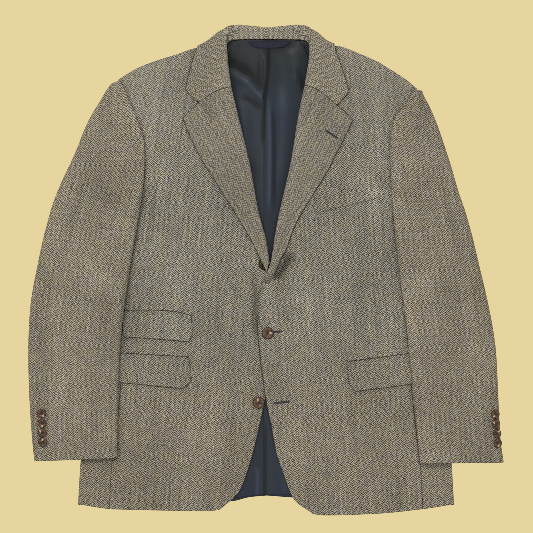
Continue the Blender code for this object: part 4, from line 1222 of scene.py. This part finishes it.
# Ends in a column of the herringbone, and in one repeat of its twill
COLUMN_ENDS = 4
TWILL = 4.0
MEAN_TWEED = (0.245, 0.222, 0.175, 1)
PALE_YARN = (0.60, 0.55, 0.425, 1), (0.47, 0.44, 0.365, 1)
DARK_YARN = (0.010, 0.010, 0.011, 1), (0.030, 0.026, 0.021, 1)
NOISES = {
    # where on the cloth it starts, scale per millimetre, detail
    "wobble across": ((71, 13, 4), 0.45, 2.0),
    "wobble along": ((9, 37, 8), 0.4, 2.0),
    "slub": ((0, 0, 0), 0.9, 3.0),
    "tint": ((23, 5, 1), 0.7, 3.0),
    "warmth": ((5, 91, 2), 0.05, 3.0),
    "fuzz": ((0, 0, 0), 4.0, 2.0),
    "edge": ((0, 0, 0), 0.5, 2.0),
}
# Flecks show where a noise passes these levels
PALE_FLECKS = ((0.60, (0.56, 0.385, 0.30, 1)), (0.60, (0.46, 0.50, 0.325, 1)))
DARK_FLECKS = ((0.42, (0.030, 0.045, 0.062, 1)), (0.40, (0.050, 0.022, 0.018, 1)))
# Light and dark along the warp, and how long it is drawn out
STREAKS = 0.8
STREAK_MAP = (0.32, 0.006, 1.0)
CLOUDS = (
    # scale of the noise per millimetre, height
    (0.15, 0.38), (0.045, 0.28), (0.012, 0.18),
)
# The cloth is cooler here and warmer there, within this range of its noise
CAST_RANGE = (0.3, 0.7)
CASTS = (0.97, 0.985, 1.045, 1), (1.03, 1.015, 0.93, 1)
# The lower part of the fronts, and the sleeves, are a little warmer
LOW_PART = (-260.0, -90.0)
LOW_CAST = (1.01, 0.965, 0.92, 1)
# The weave stands out less near the shoulders
HIGH_PART = (150.0, 260.0)
# Painted light and shade for each millimetre of a fold's height
FOLD_SHADING = 0.11
# How unlike the ends of the warp are, and the share of a yarn's light that its round crown makes
WARP_RANGE = 0.9
CROWN_LIGHT = 0.2
# The pale warp and the dark weft pass into each other between these levels of the twill's wave
TWILL_EDGE = 0.8
# Fuzz in the weave's relief, and each relief's height in metres with its strength
FUZZ = 0.5
TWEED_BUMP = (0.0003, 0.7)
SATIN_BUMP = (0.0001, 0.25)
LABEL_BUMP = (0.0001, 0.3)
HORN_BUMP = (0.00005, 0.2)
THREAD_BUMP = (0.0001, 0.4)
# Millimetres that the shade beside a layer on top wanders
EDGE_WANDER = 1.6
# That shade: width of the dark line, and width and light of the dim band beyond it. The lining's
# also has the light of its line
TWEED_LINE = 1.9
TWEED_BAND = (9.0, 0.86)
SATIN_SHADE = (2.5, 0.35, 13.0, 0.7)
# Range of the painted shade at a piece's own edge, where the light falls off, and what is left of the light
# there on the lining
TWEED_EDGE_SHADE = (0.62, 0.98)
SATIN_EDGE_SHADE = (0.6, 0.98)
SATIN_RIM = 0.3
# The lining: two tones of it, and the darker, greyer colour of the painted shade by the neck
SATIN_TONES = (0.016, 0.024, 0.040, 1), (0.021, 0.027, 0.037, 1)
SATIN_NECK_SHADE = (0.014, 0.018, 0.018, 1)
NECK_SHADE_PART = (270.0, 350.0)
# Its threads: how they are drawn out, their noise in tone and relief, their part in tone and
# roughness, and the noise of its two tones
SATIN_MAP = (1.0, 0.12, 1.0)
SATIN_THREADS = 3.5
SATIN_RELIEF = 6.0
SATIN_TONE = 0.24
SATIN_ROUGH = (0.36, 0.12)
SATIN_CLOUD = 0.02
# Painted light and shade on the lining's folds: the light at their bottom and their top, this far down and up
# in millimetres
SATIN_FOLD = 1.9
FOLD_LIGHT = (0.15, 1.85)
LABEL_COLOUR = (0.007, 0.010, 0.024, 1)
LABEL_PITCH = (0.4, 0.5)
# Horn: its mottled tones, that of the dish, and that of the pale streak
HORN_TONES = (0.045, 0.022, 0.013, 1), (0.20, 0.112, 0.060, 1)
HORN_DISH = (0.060, 0.020, 0.013, 1)
HORN_PALE = (0.66, 0.47, 0.27, 1)
# Noises in horn and thread, each metre
HORN_MOTTLE = 330.0
HORN_FINE = 1100.0
THREAD_TWIST = 2500.0
# Shares of a button's radius over which the dish ends and the rim starts, and the rim's light
DISH_EDGE = (0.26, 0.40)
RIM_EDGE = (0.72, 0.95)
RIM_LIGHT = 0.28
# Where the pale streak of a button lies, seen from its centre, and one over its half lengths in metres
STREAK_PLACE = (-1.05, -0.85, 0.0)
STREAK_SCALE = (260.0, 480.0, 0.0)


class Socket:
    """A node's output. Arithmetic with it adds Math nodes."""

    def __init__(self, graph, end):
        self.graph = graph
        self.end = end

    def __add__(self, other):
        return self.graph.math("ADD", self, other)

    def __sub__(self, other):
        return self.graph.math("SUBTRACT", self, other)

    def __rsub__(self, other):
        return self.graph.math("SUBTRACT", other, self)

    def __mul__(self, other):
        return self.graph.math("MULTIPLY", self, other)

    def __truediv__(self, other):
        return self.graph.math("DIVIDE", self, other)


class Graph:
    """A small writer of shader nodes."""

    def __init__(self, name):
        self.material = bpy.data.materials.new(name)
        self.material.use_nodes = True
        self.tree = self.material.node_tree
        self.shader = self.tree.nodes["Principled BSDF"]

    def node(self, kind, output=0, **values):
        """One output of a new node, with its settings, and its inputs by name or number."""
        node = self.tree.nodes.new("ShaderNode" + kind)
        for key, value in values.items():
            if hasattr(node, key):
                setattr(node, key, value)
            else:
                self.put(node.inputs[int(key[2:]) if key.startswith("in") else key], value)
        return Socket(self, node.outputs[output])

    def put(self, spot, value):
        """Links an output to an input, or sets a plain value."""
        if isinstance(value, Socket):
            self.tree.links.new(value.end, spot)
        else:
            spot.default_value = value

    def math(self, operation, *values):
        """One step of arithmetic."""
        return self.node("Math", operation=operation, **{f"in{k}": value for k, value in enumerate(values)})

    def measure(self, name):
        """A number kept on the mesh."""
        return self.node("Attribute", "Fac", attribute_name=name)

    def grain(self, moved=None, scale=None):
        """The cloth's map in millimetres, across the warp and along it, moved or stretched."""
        plain = self.node("UVMap", uv_map="grain")
        if moved and any(moved):
            return self.node("VectorMath", operation="ADD", in0=plain, in1=moved)
        return self.node("Mapping", Vector=plain, Scale=scale) if scale else plain

    def noise(self, vector, scale, detail=2.0):
        """Smooth noise, about 0.5 on average."""
        return self.node("TexNoise", Vector=vector, Scale=scale, Detail=detail)

    def cloth_noise(self, name):
        """One of the named noises on the cloth."""
        start, scale, detail = NOISES[name]
        return self.noise(self.grain(moved=start), scale, detail)

    def random(self, number):
        """A value of its own for each whole number."""
        return self.node("TexWhiteNoise", noise_dimensions="1D", W=number)

    def mix(self, share, low, high):
        """Colour between two."""
        return self.node("Mix", 2, data_type="RGBA", in0=share, in6=low, in7=high)

    def times(self, one, other):
        """Product of two colours."""
        return self.node("VectorMath", operation="MULTIPLY", in0=one, in1=other)

    def scaled(self, colour, share):
        """A colour made darker or lighter."""
        plain = colour if isinstance(colour, Socket) else colour[:3]
        return self.node("VectorMath", operation="SCALE", in0=plain, in3=share)

    def ramp(self, value, start, end, low=0.0, high=1.0, kind="SMOOTHSTEP"):
        """A step from one value to another."""
        return self.node("MapRange", interpolation_type=kind, in0=value, in1=start, in2=end,
                         in3=low, in4=high)

    def shelter(self, line, dark, reach, dim):
        """Less light beside the edge of a layer on top: a dark line, and a wider dim band."""
        cover = self.measure("cover") + self.cloth_noise("edge") * EDGE_WANDER - EDGE_WANDER / 2
        return self.ramp(cover, 0.0, line, dark) * self.ramp(cover, 0.0, reach, dim)

    def bump(self, height, distance, strength):
        """Relief on the shader's normal."""
        self.put(self.shader.inputs["Normal"],
                 self.node("Bump", Height=height, Distance=distance, Strength=strength))

    def finish(self, colour, **values):
        """Sets the shader."""
        self.put(self.shader.inputs["Base Color"], colour)
        for key, value in values.items():
            self.put(self.shader.inputs[key.replace("_", " ")], value)
        return self.material


def tweed_material(name, depth, wobble, rim, stray=1.3, light=1.0, warm=0.0, high=1.0, seam=0.22):
    """Herringbone: a two-and-two twill of pale warp and dark weft, turned back every few ends.

    depth is how far the two yarns stand apart in tone, and high what is left of that near the
    shoulders. wobble is how unevenly the yarns lie, and stray how far a column's edge moves from
    pick to pick. rim is the light left by the painted shade at the piece's own turned edges, and seam
    the light left by the painted shade beside the edge of a layer on top. light and warm are the whole
    piece's brightness and warmth.
    """
    g = Graph(name)
    grain = g.grain()
    x, y = (g.node("SeparateXYZ", k, Vector=grain) for k in (0, 1))
    across = x / WARP_PITCH + g.cloth_noise("wobble across") * wobble
    along = y / WEFT_PITCH + g.cloth_noise("wobble along") * wobble
    end, pick = (g.math("FLOOR", place) for place in (across, along))
    yarn_warp, yarn_weft = g.random(end), g.random(pick + 0.5)
    ragged = end + 0.5 + (yarn_weft - 0.5) * (2 * stray)
    turned = g.math("GREATER_THAN", g.math("FLOORED_MODULO", ragged, 2.0 * COLUMN_ENDS), float(COLUMN_ENDS))
    phase = g.math("FLOORED_MODULO", along + (turned + end * (1.0 - turned * 2.0)), TWILL)
    wave = g.math("SINE", phase * (2 * math.pi / TWILL))
    shown = g.ramp(wave, -TWILL_EDGE, TWILL_EDGE, kind="LINEAR")
    crowns = [g.math("SINE", g.math("FRACT", place) * math.pi) for place in (along, across)]
    crown = g.node("Mix", data_type="FLOAT", in0=g.math("LESS_THAN", phase, TWILL / 2),
                   in2=crowns[0], in3=crowns[1])
    flecks = g.cloth_noise("slub"), g.cloth_noise("tint")
    pale, dark = g.mix(yarn_warp * WARP_RANGE, *PALE_YARN), g.mix(yarn_weft, *DARK_YARN)
    for fleck, (above, bright), (below, deep) in zip(flecks, PALE_FLECKS, DARK_FLECKS):
        pale = g.mix(g.math("GREATER_THAN", fleck, above), pale, bright)
        dark = g.mix(g.math("LESS_THAN", fleck, below), dark, deep)
    yarns = g.scaled(g.mix(shown, dark, pale), crown * CROWN_LIGHT + (1 - CROWN_LIGHT))
    colour = g.mix(g.ramp(y, *HIGH_PART, depth, depth * high), MEAN_TWEED, yarns)
    spread = (g.noise(g.grain(scale=STREAK_MAP), 1.0) - 0.5) * STREAKS
    for scale, height in CLOUDS:
        spread = spread + (g.noise(grain, scale) - 0.5) * height
    # Painted shade: a dark line and a dim band beside the edge of a layer on top, a darker rim at the piece's
    # own edges, and painted light and shade on the folds by their height
    tone = (spread + 1.0) * g.shelter(TWEED_LINE, seam, *TWEED_BAND)
    tone = tone * g.ramp(g.measure("wear"), *TWEED_EDGE_SHADE, 1.0, rim) * (g.measure("relief") * FOLD_SHADING + 1.0)
    low = g.ramp(y, *LOW_PART, 1.0 - warm, 0.0) + warm
    warmth = g.ramp(g.cloth_noise("warmth"), *CAST_RANGE)
    cast = g.times(g.mix(warmth, *CASTS), g.mix(low, (1, 1, 1, 1), LOW_CAST))
    g.bump(crown + g.cloth_noise("fuzz") * FUZZ, *TWEED_BUMP)
    return g.finish(g.times(g.scaled(colour, tone * light), cast), Roughness=0.92,
                    Specular_IOR_Level=0.12, Sheen_Weight=0.06, Sheen_Roughness=0.5)


def satin_material():
    """Dark navy-grey lining with a soft gloss, with painted shade that makes it darker and greyer by the
    neck.
    """
    g = Graph("lining")
    stretched = g.grain(scale=SATIN_MAP)
    threads = g.noise(stretched, SATIN_THREADS)
    up = g.node("SeparateXYZ", 1, Vector=g.grain())
    colour = g.mix(g.noise(g.grain(), SATIN_CLOUD), *SATIN_TONES)
    # Painted shade by the neck: darker and greyer there
    colour = g.mix(g.ramp(up, *NECK_SHADE_PART, 0.0, 0.8), colour, SATIN_NECK_SHADE)
    tone = (threads * SATIN_TONE + (1 - SATIN_TONE / 2)) * g.shelter(*SATIN_SHADE)
    # Painted shade at the lining's own edges
    tone = tone * g.ramp(g.measure("wear"), *SATIN_EDGE_SHADE, 1.0, SATIN_RIM)
    # Painted light on the tops of the lining's folds and painted shade in their hollows
    tone = tone * g.ramp(g.measure("relief"), -SATIN_FOLD, SATIN_FOLD, *FOLD_LIGHT, kind="LINEAR")
    g.bump(g.noise(stretched, SATIN_RELIEF), *SATIN_BUMP)
    return g.finish(g.scaled(colour, tone), Roughness=threads * SATIN_ROUGH[1] + SATIN_ROUGH[0],
                    Specular_IOR_Level=0.25, Anisotropic=0.4)


def label_material():
    """Plain navy woven label."""
    g = Graph("label")
    cross, ribs = (g.math("SINE", g.node("SeparateXYZ", k, Vector=g.grain()) * (2 * math.pi / LABEL_PITCH[k]))
                   for k in (0, 1))
    weave = ribs * cross
    g.bump(weave, *LABEL_BUMP)
    return g.finish(g.scaled(LABEL_COLOUR, weave * 0.15 + 1.0), Roughness=0.55, Specular_IOR_Level=0.25)


def horn_material(name, light):
    """Brown horn: mottled, dark at the rim, reddish in the dish, with one pale streak."""
    g = Graph(name)
    place = g.node("TexCoord", "Object")
    mottle = g.noise(g.node("Mapping", Vector=place, Scale=(1.0, 0.5, 1.0)), HORN_MOTTLE, 3.0)
    fine = g.noise(place, HORN_FINE)
    out = g.measure("out")
    colour = g.mix(g.ramp(mottle, 0.35, 0.68), *HORN_TONES)
    colour = g.mix(g.ramp(out, *DISH_EDGE, 0.85, 0.0), colour, HORN_DISH)
    streak = g.node("Mapping", Vector=place, Location=STREAK_PLACE, Scale=STREAK_SCALE)
    far = g.node("VectorMath", "Value", operation="LENGTH", in0=streak)
    colour = g.mix(g.ramp(far, 0.35, 1.0, 0.95, 0.0) * g.ramp(fine, 0.3, 0.5, 0.55), colour, HORN_PALE)
    g.bump(fine, *HORN_BUMP)
    return g.finish(g.scaled(colour, g.ramp(out, *RIM_EDGE, light, RIM_LIGHT * light)), Roughness=0.35,
                    Specular_IOR_Level=0.3 * light, Coat_Weight=0.08 * light)


def thread_material(name, colour):
    """Twisted sewing thread."""
    g = Graph(name)
    twist = g.noise(g.node("TexCoord", "Object"), THREAD_TWIST)
    g.bump(twist, *THREAD_BUMP)
    return g.finish(g.scaled(colour, twist * 0.6 + 0.7), Roughness=0.7)


TWEED_CLOTH = tweed_material("tweed", 0.93, 2.0, 0.5, stray=1.0, high=0.84, seam=0.32)
TURNED_CLOTH = tweed_material("tweed_turned", 0.64, 2.8, 0.92, stray=2.1, light=0.93, warm=0.5, seam=0.42)
COLLAR_CLOTH = tweed_material("tweed_collar", 0.71, 2.4, 0.92, stray=1.9, light=1.06, warm=0.6)
FLAP_CLOTH = tweed_material("tweed_flap", 0.93, 2.0, 0.75, stray=1.0)
INSET_CLOTH = tweed_material("tweed_inset", 0.93, 2.0, 0.97, stray=1.0)
SLEEVE_CLOTH = tweed_material("tweed_sleeve", 0.87, 2.0, 0.5, stray=1.0, light=1.02, warm=1.0)
SATIN = satin_material()
NAVY = label_material()
HORN = horn_material("horn", 1.0)
# A darker copy of the horn: painted shade on the top button, which lies under the lapel
SHADED_HORN = horn_material("horn_shaded", 0.4)
DARK_THREAD = thread_material("thread_dark", (0.030, 0.016, 0.012, 1))
HOLE_THREAD = thread_material("thread_buttonhole", (0.032, 0.031, 0.037, 1))


# Panels

outlines = {}


def add_pocket(flap, jet, edges, side):
    """A pocket's flap on a front, and the narrow jet above it."""
    strip = add_shell(jet, jet_grid(edges, side), JET_WALL, settle_body, (INSET_CLOTH,), trim=True)
    add_shell(flap, laid_grid(edges, side, FLAP_WALL), FLAP_WALL, settle_body, (FLAP_CLOTH,),
              on=("front_" + side,), shift=UV_SHIFT, under=(jet,))


def outline_pocket(flap, jet, edges, side):
    """Keeps the plan outlines of a pocket's two pieces."""
    outlines[jet] = plan_loop(jet_grid(edges, side), JET_WALL)
    outlines[flap] = plan_loop(laid_grid(edges, side, FLAP_WALL), FLAP_WALL)


TICKET_POCKET = ("ticket_flap", "ticket_jet", TICKET, "left")
HIP_POCKETS = {side: ("flap_" + side, "jet_" + side, FLAPS[side], side) for side in SIDES}
FACE_UP = (TWEED_CLOTH, SATIN)
FACE_DOWN = (SATIN, TWEED_CLOTH)
ON_FRONT = {
    "left": ("lapel_left", "collar", "ticket_flap", "flap_left", "front_right", "topsleeve_left"),
    "right": ("lapel_right", "collar", "flap_right", "topsleeve_right"),
}

outlines["collar"] = plan_loop(collar_grid(), COLLAR_WALL, TURNED_STEP)
outlines["label"] = plan_loop(label_grid(), LABEL_WALL)
outline_pocket(*TICKET_POCKET)
for side in SIDES:
    outlines["front_" + side] = plan_loop(front_grid(side), FRONT_WALL, 2 * STEP)
    outlines["lapel_" + side] = plan_loop(lapel_grid(side), COLLAR_WALL, TURNED_STEP)
    outlines["topsleeve_" + side] = plan_loop(sleeve_grids(side)[0], TWEED, 2 * STEP, folded=True)
    outline_pocket(*HIP_POCKETS[side])

for side in SIDES:
    add_shell("back_" + side, back_grid(side), TWEED, settle_flat, FACE_DOWN)
    add_shell("side_" + side, side_grid(side), TWEED, settle_body, FACE_UP, grain="side", face=(0.5, 0.97),
              on=("back_" + side,))
    add_shell("lining_" + side, lining_grid(side), LINING_WALL, settle_lining, (SATIN,), slot="lining",
              on=("back_" + side,), step=LINING_STEP, under=("label", "lapel_left", "lapel_right"))
    add_shell("front_" + side, front_grid(side), FRONT_WALL, settle_body, FACE_UP,
              on=("lining_" + side,), under=ON_FRONT[side])
    add_shell("lapel_" + side, lapel_grid(side), COLLAR_WALL, settle_lapel, (TURNED_CLOTH,), grain="lapel",
              face=(0.5, 0.2), on=("front_" + side,), step=TURNED_STEP, edge=TURNED_EDGE)
    top, under = sleeve_grids(side)
    add_shell("topsleeve_" + side, top, TWEED, settle_sleeve, (SLEEVE_CLOTH, SATIN), grain="sleeve",
              on=("front_" + side,))
    add_shell("undersleeve_" + side, under, TWEED, settle_body, FACE_DOWN, grain="sleeve",
              on=("side_" + side,))
    add_pocket(*HIP_POCKETS[side])
add_shell("collar", collar_grid(), COLLAR_WALL, settle_body, (COLLAR_CLOTH,), grain="collar",
          face=(0.02, 0.9), on=("front_left", "front_right"), step=TURNED_STEP,
          edge=TURNED_EDGE)
add_pocket(*TICKET_POCKET)
add_shell("breast_welt", laid_grid(WELT, "right", JET_WALL), JET_WALL, settle_body, (INSET_CLOTH,),
          on=("front_right",))
add_shell("label", label_grid(), LABEL_WALL, settle_lining, (NAVY,), slot="label",
          on=("lining_left", "lining_right"))


# Buttons and buttonholes

def top_of(node, x, y):
    """Height of a panel's upper face at a place, from the nearest places on it."""
    upper, wall = upper_faces[node]
    far = np.hypot(upper[:, 0] - x, upper[:, 1] - y)
    near = np.argsort(far)[:NEAREST]
    weights = 1 / (far[near] ** 2 + NEAREST_SOFT)
    return float((upper[near, 2] * weights).sum() / weights.sum()) + wall / 2


def facing(node, x, y, step=5.0):
    """Upward normal of a panel's upper face at a place."""
    west, east, south, north = (top_of(node, x + i * step, y + j * step)
                                for i, j in ((-1, 0), (1, 0), (0, -1), (0, 1)))
    return Vector((west - east, south - north, 2 * step)).normalized()


def round_angles(sides):
    """Evenly spaced angles of a full turn."""
    return [k * 2 * math.pi / sides for k in range(sides)]


def tube_faces(rings, sides, first=0):
    """Faces round a body whose points come ring by ring, from the given one on."""
    return [(low + k, low + after, low + sides + after, low + sides + k)
            for low in range(first, first + (rings - 1) * sides, sides)
            for k in range(sides) for after in ((k + 1) % sides,)]


def lathed(profile, sides):
    """Points and faces of a closed body turned from radius and height pairs, bottom first."""
    points = [(0, 0, profile[0][1])]
    points += [(radius * math.cos(angle), radius * math.sin(angle), height)
               for radius, height in profile[1:-1] for angle in round_angles(sides)]
    points.append((0, 0, profile[-1][1]))
    top = len(points) - 1
    faces = tube_faces(len(profile) - 2, sides, first=1)
    for k in range(sides):
        after = (k + 1) % sides
        faces += [(0, 1 + after, 1 + k), (top - sides + k, top - sides + after, top)]
    return points, faces


def thread_bar(reach, y, radius, height, rings=8, sides=8):
    """Points and faces of a short arched thread, along x on both sides of the centre."""
    points = []
    for t in even(rings):
        arch = height + radius * (math.sin(math.pi * t) - 0.8)
        points += [(reach * (2 * t - 1), y + radius * math.cos(angle), arch + radius * math.sin(angle))
                   for angle in round_angles(sides)]
    ends = [tuple(range(sides))[::-1], tuple(range(len(points) - sides, len(points)))]
    return points, tube_faces(rings, sides) + ends


def add_button(node, facts, panel, x, y, turn, horn, moved=(0, 0, 0)):
    """A horn button with a rim and a dish, sewn on with two threads."""
    radius, height, dish, rim = (facts[key] for key in ("radius", "height", "dish", "rim"))
    points, faces = lathed((
        (0, 0), (radius - rim, 0), (radius - 0.3, 0.35 * height), (radius, 0.6 * height),
        (radius - 0.25 * rim, 0.86 * height), (radius - 0.8 * rim, height),
        (radius - 1.3 * rim, 0.99 * height),
        (0.62 * radius, height - 0.45 * dish), (0.56 * radius, height - 0.3 * dish),
        (0.46 * radius, height - 0.4 * dish), (0.38 * radius, height - dish),
        (0.30 * radius, height - 1.15 * dish), (0, height - 1.1 * dish),
    ), BUTTON_SIDES)
    of_horn = len(faces)
    for row in (-1, 1):
        bar = thread_bar(THREAD_REACH, row * THREAD_ROW, THREAD_RADIUS, height - 0.9 * dish)
        faces += [tuple(k + len(points) for k in face) for face in bar[1]]
        points = points + bar[0]
    mesh = make_mesh("visual_" + node, points, faces, (horn, DARK_THREAD),
                     out=[math.hypot(*point[:2]) / radius for point in points])
    mesh.polygons.foreach_set("material_index", [int(k >= of_horn) for k in range(len(faces))])
    piece = add_object("visual_" + node, mesh, "horn", node)
    normal = facing(panel, x, y)
    piece.location = (Vector((x, y, top_of(panel, x, y))) + normal * SEAM + Vector(moved)) * MM
    piece.rotation_mode = "QUATERNION"
    piece.rotation_quaternion = normal.to_track_quat("Z", "Y") @ Quaternion((0, 0, 1), math.radians(turn))


def add_buttonhole(name, node, start, end, half):
    """A worked buttonhole: a low bar of close stitches along a slit."""
    start = np.array(start, float)
    way = end - start
    length = np.linalg.norm(way)
    right = np.array((way[1], -way[0])) / length
    t = even(int(length / HOLE_STEP) + 1)[:, None]
    s = np.linspace(-1, 1, HOLE_COLUMNS)
    taper = np.sqrt(1 - np.abs(2 * t - 1) ** 6)
    notch = 1 - HOLE_NOTCH + HOLE_NOTCH * np.sin(2 * math.pi * t * length / HOLE_STITCH)
    slit = 1 - HOLE_SLIT[0] * np.exp(-(s / HOLE_SLIT[1]) ** 2)
    rise = HOLE_RISE * np.sqrt(1 - s * s) * slit * (0.5 + 0.5 * taper) * notch
    across = half * s * (HOLE_END + (1 - HOLE_END) * taper) * notch
    plan = start + way * t[..., None] + right * across[..., None]
    knots = even(9)
    ground = np.interp(t, knots, [top_of(node, *(start + way * knot)) for knot in knots]) - HOLE_SINK
    points = both_sides(with_height(plan, ground + rise), with_height(plan, ground + 0 * rise))
    faces = shell_faces(len(t), len(s)).tolist()
    add_object("buttonhole_" + name, make_mesh("buttonhole_" + name, points, faces, (HOLE_THREAD,)), "tweed")


for node, (side, *spot) in FRONT_BUTTONS.items():
    if node == "button_top":
        add_button(node, FRONT_BUTTON, "front_" + side, *spot, SHADED_HORN, moved=TOP_BUTTON_MOVE)
    else:
        add_button(node, FRONT_BUTTON, "front_" + side, *spot, HORN)
for side, spots in CUFF_BUTTONS.items():
    for k, spot in enumerate(spots):
        add_button(f"cuff_button_{side}_{k + 1}", CUFF_BUTTON, "topsleeve_" + side, *spot, HORN)
for name, hole in BUTTONHOLES.items():
    add_buttonhole(name, *hole)


# Camera and light

PIXELS = 533
MM_PER_PIXEL = 1.65
PHOTO_CENTRE = (0.8, 5.8)
CAMERA_HEIGHT = 5.0
SENSOR = 36.0
MIDDLE_LAYER = 0.015
FLOOR_COLOUR = (0.791, 0.665, 0.347, 1)
FLOOR_REACH = 12.0
FLOOR_LEVEL = -0.0004
SKY = 0.55
# Narrower than Blender's own, so that the weave stays sharp
FILTER_WIDTH = 0.62


def add_camera():
    """Straight down, framed as the photograph is."""
    data = bpy.data.cameras.new("camera")
    data.sensor_width = SENSOR
    data.lens = SENSOR * (CAMERA_HEIGHT - MIDDLE_LAYER) / (PIXELS * MM_PER_PIXEL * MM)
    data.clip_end = 50.0
    camera = bpy.data.objects.new("camera", data)
    camera.location = (PHOTO_CENTRE[0] * MM, PHOTO_CENTRE[1] * MM, CAMERA_HEIGHT)
    bpy.context.scene.collection.objects.link(camera)
    bpy.context.scene.camera = camera


def add_light(name, place, size, power):
    """A soft square white light that looks at the jacket."""
    data = bpy.data.lights.new(name, "AREA")
    data.shape = "SQUARE"
    data.size = size
    data.energy = power
    light = bpy.data.objects.new(name, data)
    light.location = place
    light.rotation_mode = "QUATERNION"
    light.rotation_quaternion = (-Vector(place)).to_track_quat("-Z", "Y")
    bpy.context.scene.collection.objects.link(light)


def add_stage():
    """Plain pale floor and an even sky."""
    mesh = bpy.data.meshes.new("floor")
    corners = [(x * FLOOR_REACH, y * FLOOR_REACH, FLOOR_LEVEL)
               for x, y in ((-1, -1), (1, -1), (1, 1), (-1, 1))]
    mesh.from_pydata(corners, [], [(0, 1, 2, 3)])
    mesh.materials.append(Graph("floor").finish((0, 0, 0, 1), Roughness=0.9, Specular_IOR_Level=0.0,
                                                Emission_Color=FLOOR_COLOUR, Emission_Strength=1.0))
    floor = bpy.data.objects.new("floor", mesh)
    scene = bpy.context.scene
    scene.collection.objects.link(floor)
    world = bpy.data.worlds.new("studio")
    world.use_nodes = True
    sky = world.node_tree.nodes["Background"]
    sky.inputs[0].default_value = (1, 1, 1, 1)
    sky.inputs[1].default_value = SKY
    scene.world = world
    scene.view_settings.view_transform = "Standard"
    scene.cycles.filter_width = FILTER_WIDTH
    scene.cycles.use_denoising = False


add_camera()
add_stage()
add_light("key", (-0.9, 1.6, 2.6), 1.6, 48)
add_light("fill", (1.2, -0.6, 2.8), 2.0, 12)
